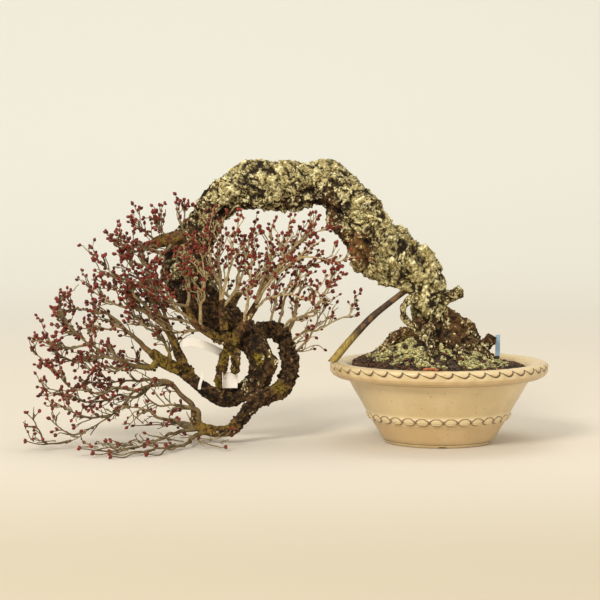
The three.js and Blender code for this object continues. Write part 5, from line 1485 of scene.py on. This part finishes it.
def soil_surface():
    """Rows up the pot's inside, then rows inward over the mound, with crumbs of plates and of noise."""
    under = np.array(SOIL_UNDERSIDE)
    radius = np.concatenate([under[:, 0], np.linspace(SOIL_EDGE_RADIUS, 2, SOIL_ROWS)])
    x, y, spots = round_grid(radius, SOIL_SIDES)
    border, own = plates(spots, SOIL_CRUMB, 80)
    crumbs = 1.6 * (own - 0.5) - 1.2 * (1 - eased(0.02, 0.3, border)) + 2.2 * noise(spots, 22, 81)
    top = soil_top(x, y) - 1.2 + crumbs * eased(0, 6, SOIL_EDGE_RADIUS - radius)[:, None]
    top = top - 2 * (radius == SOIL_EDGE_RADIUS)[:, None]
    z = np.vstack([np.repeat(under[:, 1:], SOIL_SIDES, axis=1), top[len(under):]])
    middle_low = np.array([0.0, 0.0, under[0, 1]])
    middle_top = np.array([0.0, 0.0, soil_top(0, 0)])
    return closed_rings(np.stack([x, y, z], axis=-1), middle_low, middle_top, {"rust": 0 * z})


def pebbles(spots, sizes, masks, seed, squash=0.75):
    """Crumbs: the twelve corners of an icosahedron, each pushed out at random, turned and set on a spot."""
    rng = np.random.default_rng(seed)
    ball = bmesh.new()
    bmesh.ops.create_icosphere(ball, subdivisions=1, radius=1.0)
    corners = np.array([list(vert.co) for vert in ball.verts])
    faces = np.array([[vert.index for vert in face.verts] for face in ball.faces])
    ball.free()
    turn = rng.uniform(0, TURN, (len(spots), 2))[:, :1]
    shape = corners[None] * rng.uniform(0.72, 1.15, (len(spots), len(corners), 1))
    x = shape[..., 0] * np.cos(turn) - shape[..., 1] * np.sin(turn)
    y = shape[..., 0] * np.sin(turn) + shape[..., 1] * np.cos(turn)
    turned = np.stack([x, y, shape[..., 2] * squash], axis=-1)
    points = spots[:, None] + turned * sizes[:, None, None]
    fans = (faces[None] + np.arange(len(spots))[:, None, None] * len(corners)).reshape(-1, 3)
    masks = {name: np.repeat(values, len(corners)) for name, values in masks.items()}
    return points.reshape(-1, 3), np.zeros((0, 4), int), fans, masks


def moss_depth(x, y):
    """Depth of moss on the mound: the strongest patch, strength exp(-d^2), plus noise, none at the rim."""
    spots = np.stack([x, y, 0 * x], axis=-1)
    near = np.maximum.reduce([
        strength * np.exp(-(((x - middle_x) / reach_x) ** 2 + ((y - middle_y) / reach_y) ** 2))
        for strength, middle_x, middle_y, reach_x, reach_y in MOSS_PATCHES])
    rim = eased(122, 104, np.hypot(x, y))
    return (near * 1.2 - 0.84 + 0.6 * noise(spots, 15, 90) + 1.35 * noise(spots, 7.5, 91)) * rim - (1 - rim)


def moss_surface():
    """Cushion: soil top plus a rounded depth where moss grows, and a hidden underside below the soil."""
    outward = np.linspace(4, 127, 12)
    radius = np.concatenate([outward, np.linspace(127.5, 3, 150)])
    x, y, spots = round_grid(radius, MOSS_SIDES)
    depth = moss_depth(x, y)
    border, own = plates(spots, MOSS_TUFT, 92)
    tufts = 2.4 * np.clip(border, 0, 0.6) + 1.4 * own + 0.7 * noise(spots, 2.4, 93)
    grown = eased(-0.05, 0.3, depth)
    top = soil_top(x, y) - 3.2 + grown * (3.6 + 2.6 * np.clip(depth, 0, 1.2) + tufts)
    z = np.where(np.arange(len(radius))[:, None] < len(outward), soil_top(x, y) - MOSS_UNDER, top)
    height = np.clip(0.25 + 0.3 * tufts, 0, 1) * grown
    low = soil_top(0, 0) - MOSS_UNDER
    return closed_rings(np.stack([x, y, z], axis=-1), np.array([0.0, 0.0, low]),
                        np.array([0.0, 0.0, low + 4]), {"height": height})


def scattered(count, seed, inner, outer):
    """Random spots in a ring, even over its area."""
    rng = np.random.default_rng(seed)
    radius = np.sqrt(rng.uniform(inner**2, outer**2, count))
    angle = rng.uniform(0, TURN, count)
    return radius * np.cos(angle), radius * np.sin(angle), rng


def soil_crumbs():
    """Loose granules at the soil's height, sunk a little near the wall; one in twenty is red-brown."""
    x, y, rng = scattered(LOOSE_CRUMBS, 5, *CRUMB_RING)
    z = soil_top(x, y) - 0.4 + rng.uniform(-0.4, 0.7, len(x))
    z = np.where(np.hypot(x, y) > 124, z - 1.0, z)
    sizes = rng.uniform(*CRUMB_SIZES, len(x))
    rust = (rng.random(len(x)) < 0.05) * rng.uniform(0.4, 1.0, len(x))
    return pebbles(np.stack([x, y, z], axis=-1), sizes, {"rust": rust}, 6)


def moss_tufts():
    """Small tufts over the cushions, kept where the moss is deeper than a random limit."""
    x, y, rng = scattered(LOOSE_TUFTS, 7, *TUFT_RING)
    depth = moss_depth(x, y)
    keep = depth > rng.uniform(-0.1, 0.25, len(x))
    x, y, depth = x[keep], y[keep], depth[keep]
    z = soil_top(x, y) + 1.4 + 2.6 * np.clip(depth, 0, 1.2) + rng.uniform(0, 1.6, len(x))
    sizes = rng.uniform(*TUFT_SIZES, len(x))
    height = rng.uniform(0.3, 1.0, len(x))
    return pebbles(np.stack([x, y, z], axis=-1), sizes, {"height": height}, 8, squash=0.7)


def red_granules():
    """Large flat granules lying at their own places near the front edge."""
    rows = np.array(RED_GRANULES)
    return pebbles(rows[:, :3], rows[:, 3], {"rust": np.ones(len(rows))}, 9, squash=0.55)


piece("soil_body", soil_surface(), GRANULAR_SOIL, ["soil"])
piece("soil_crumbs", merged([soil_crumbs(), red_granules()]), GRANULAR_SOIL)
piece("moss_cushions", moss_surface(), MOSS)
piece("moss_tufts", moss_tufts(), MOSS)


# Prop, labels and screens

def prop_surface():
    """Cut stick from the rim up: a slightly uneven round section, olive at its foot."""
    path, radii = smoothed(*placed(PROP_ROUTE), 2.0)
    keep = path[:, 2] > PROP_FROM
    path, radii = path[keep], radii[keep]
    uneven = 1 + 0.05 * noise(path, 17, 95) + 0.04 * noise(path, 7, 96)
    foot = eased(172, 150, path[:, 2])[:, None]
    points, *faces = tube(path, radii * uneven, PROP_SIDES, tip=0.1, masks={"foot": foot})
    points[:, 2] = np.maximum(points[:, 2], PROP_FOOT)
    return points, *faces


def strip(points, edge, width, thickness):
    """Bent strip: path + edge u + face v, with u = half width |cos a| ^ 0.35 and v likewise by |sin a|."""
    path = smooth_path(points, 1.6)
    along = unit(np.gradient(path, axis=0))
    face = unit(np.cross(along, edge))
    angle = (np.arange(STRIP_SIDES) + 0.5) / STRIP_SIDES * TURN
    u = np.sign(np.cos(angle)) * np.abs(np.cos(angle)) ** 0.35 * width / 2
    v = np.sign(np.sin(angle)) * np.abs(np.sin(angle)) ** 0.35 * thickness / 2
    grid = path[:, None] + edge * u[:, None] + face[:, None] * v[:, None]
    return closed_rings(grid, path[0], path[-1])


def drawn_strip(route, edge, width):
    """A strip of paper along a drawn route."""
    return strip(seen_at(np.array(route, float)), np.array(edge, float), width, PAPER_THICKNESS)


piece("prop", prop_surface(), PROP_BARK, ["prop_stick"])
stem_paper = drawn_strip(STEM_LABEL, UP, STEM_LABEL_WIDTH)
stub_paper = drawn_strip(STUB_LABEL, UP, STUB_LABEL_WIDTH)
tie_paper = drawn_strip(TIE_STRIP, [1, 0, 0], TIE_WIDTH)
label_edge = np.array([math.cos(PLANT_LABEL_TURN), math.sin(PLANT_LABEL_TURN), 0.0])
plant_strip = strip(np.array(PLANT_LABEL), label_edge, PLANT_LABEL_WIDTH, PLANT_LABEL_THICKNESS)
piece("paper_on_stem", stem_paper, PLAIN_PAPER, ["stem_label"])
piece("paper_on_stub", stub_paper, PLAIN_PAPER, ["stub_label"])
piece("tie", tie_paper, PLAIN_PAPER, ["tie_strip"])
piece("plant_label", plant_strip, PALE_BLUE, ["soil_label"])
for number in range(DRAIN_HOLES):
    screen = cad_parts[f"drain_screen_{number + 1}"]
    screen.data.materials.clear()
    screen.data.materials.append(SCREEN_MESH)


# Studio

def backdrop():
    """Pale floor that curves up behind: straight, then a quarter turn, then straight up."""
    x = np.linspace(-STUDIO_REACH, STUDIO_REACH, STUDIO_ROWS)
    turn = np.linspace(0, math.pi / 2, STUDIO_ROWS)[1:]
    wall_z = np.linspace(BEND_RADIUS + 600, STUDIO_TOP, 6)
    floor_y = np.linspace(-STUDIO_REACH, BEND_START, 12)
    y = np.concatenate([floor_y, BEND_START + BEND_RADIUS * np.sin(turn),
                        np.full(len(wall_z), BEND_START + BEND_RADIUS)])
    z = np.concatenate([0 * floor_y, BEND_RADIUS - BEND_RADIUS * np.cos(turn), wall_z])
    grid = np.stack(np.broadcast_arrays(x[None], y[:, None], z[:, None]), axis=-1)
    rows, columns = grid.shape[:2]
    i, j = np.meshgrid(np.arange(rows - 1), np.arange(columns - 1), indexing="ij")
    corner = i * columns + j
    quads = np.stack([corner, corner + 1, corner + columns + 1, corner + columns], axis=-1).reshape(-1, 4)
    mesh = bpy.data.meshes.new("studio_floor")
    mesh.from_pydata((grid.reshape(-1, 3) * MM).tolist(), [], quads.tolist())
    mesh.polygons.foreach_set("use_smooth", np.ones(len(quads), bool))
    mesh.materials.append(STUDIO_PAPER)
    made = bpy.data.objects.new("studio_floor", mesh)
    bpy.context.scene.collection.objects.link(made)


def soft_light(name, place, power, size, colour):
    """A square area light at a place in metres, turned to the tree's middle."""
    data = bpy.data.lights.new(name, "AREA")
    data.energy = power
    data.size = size
    data.color = colour
    made = bpy.data.objects.new(name, data)
    made.location = place
    made.rotation_euler = (Vector(LIT_PLACE) - Vector(place)).to_track_quat("-Z", "Y").to_euler()
    bpy.context.scene.collection.objects.link(made)


backdrop()
for light in LIGHTS:
    soft_light(*light)

world = bpy.data.worlds.new("studio_air")
world.use_nodes = True
air = world.node_tree.nodes["Background"]
air.inputs["Color"].default_value = AIR_COLOUR
air.inputs["Strength"].default_value = AIR_STRENGTH
bpy.context.scene.world = world
bpy.context.scene.view_settings.view_transform = "Standard"

camera_data = bpy.data.cameras.new("camera")
camera_data.lens = LENS_MM
camera_data.sensor_width = SENSOR_MM
camera_data.clip_end = CAMERA_REACH_M
camera = bpy.data.objects.new("camera", camera_data)
camera.location = EYE * MM
camera.rotation_euler = Vector((AIM - EYE) * MM).to_track_quat("-Z", "Y").to_euler()
bpy.context.scene.collection.objects.link(camera)
bpy.context.scene.camera = camera
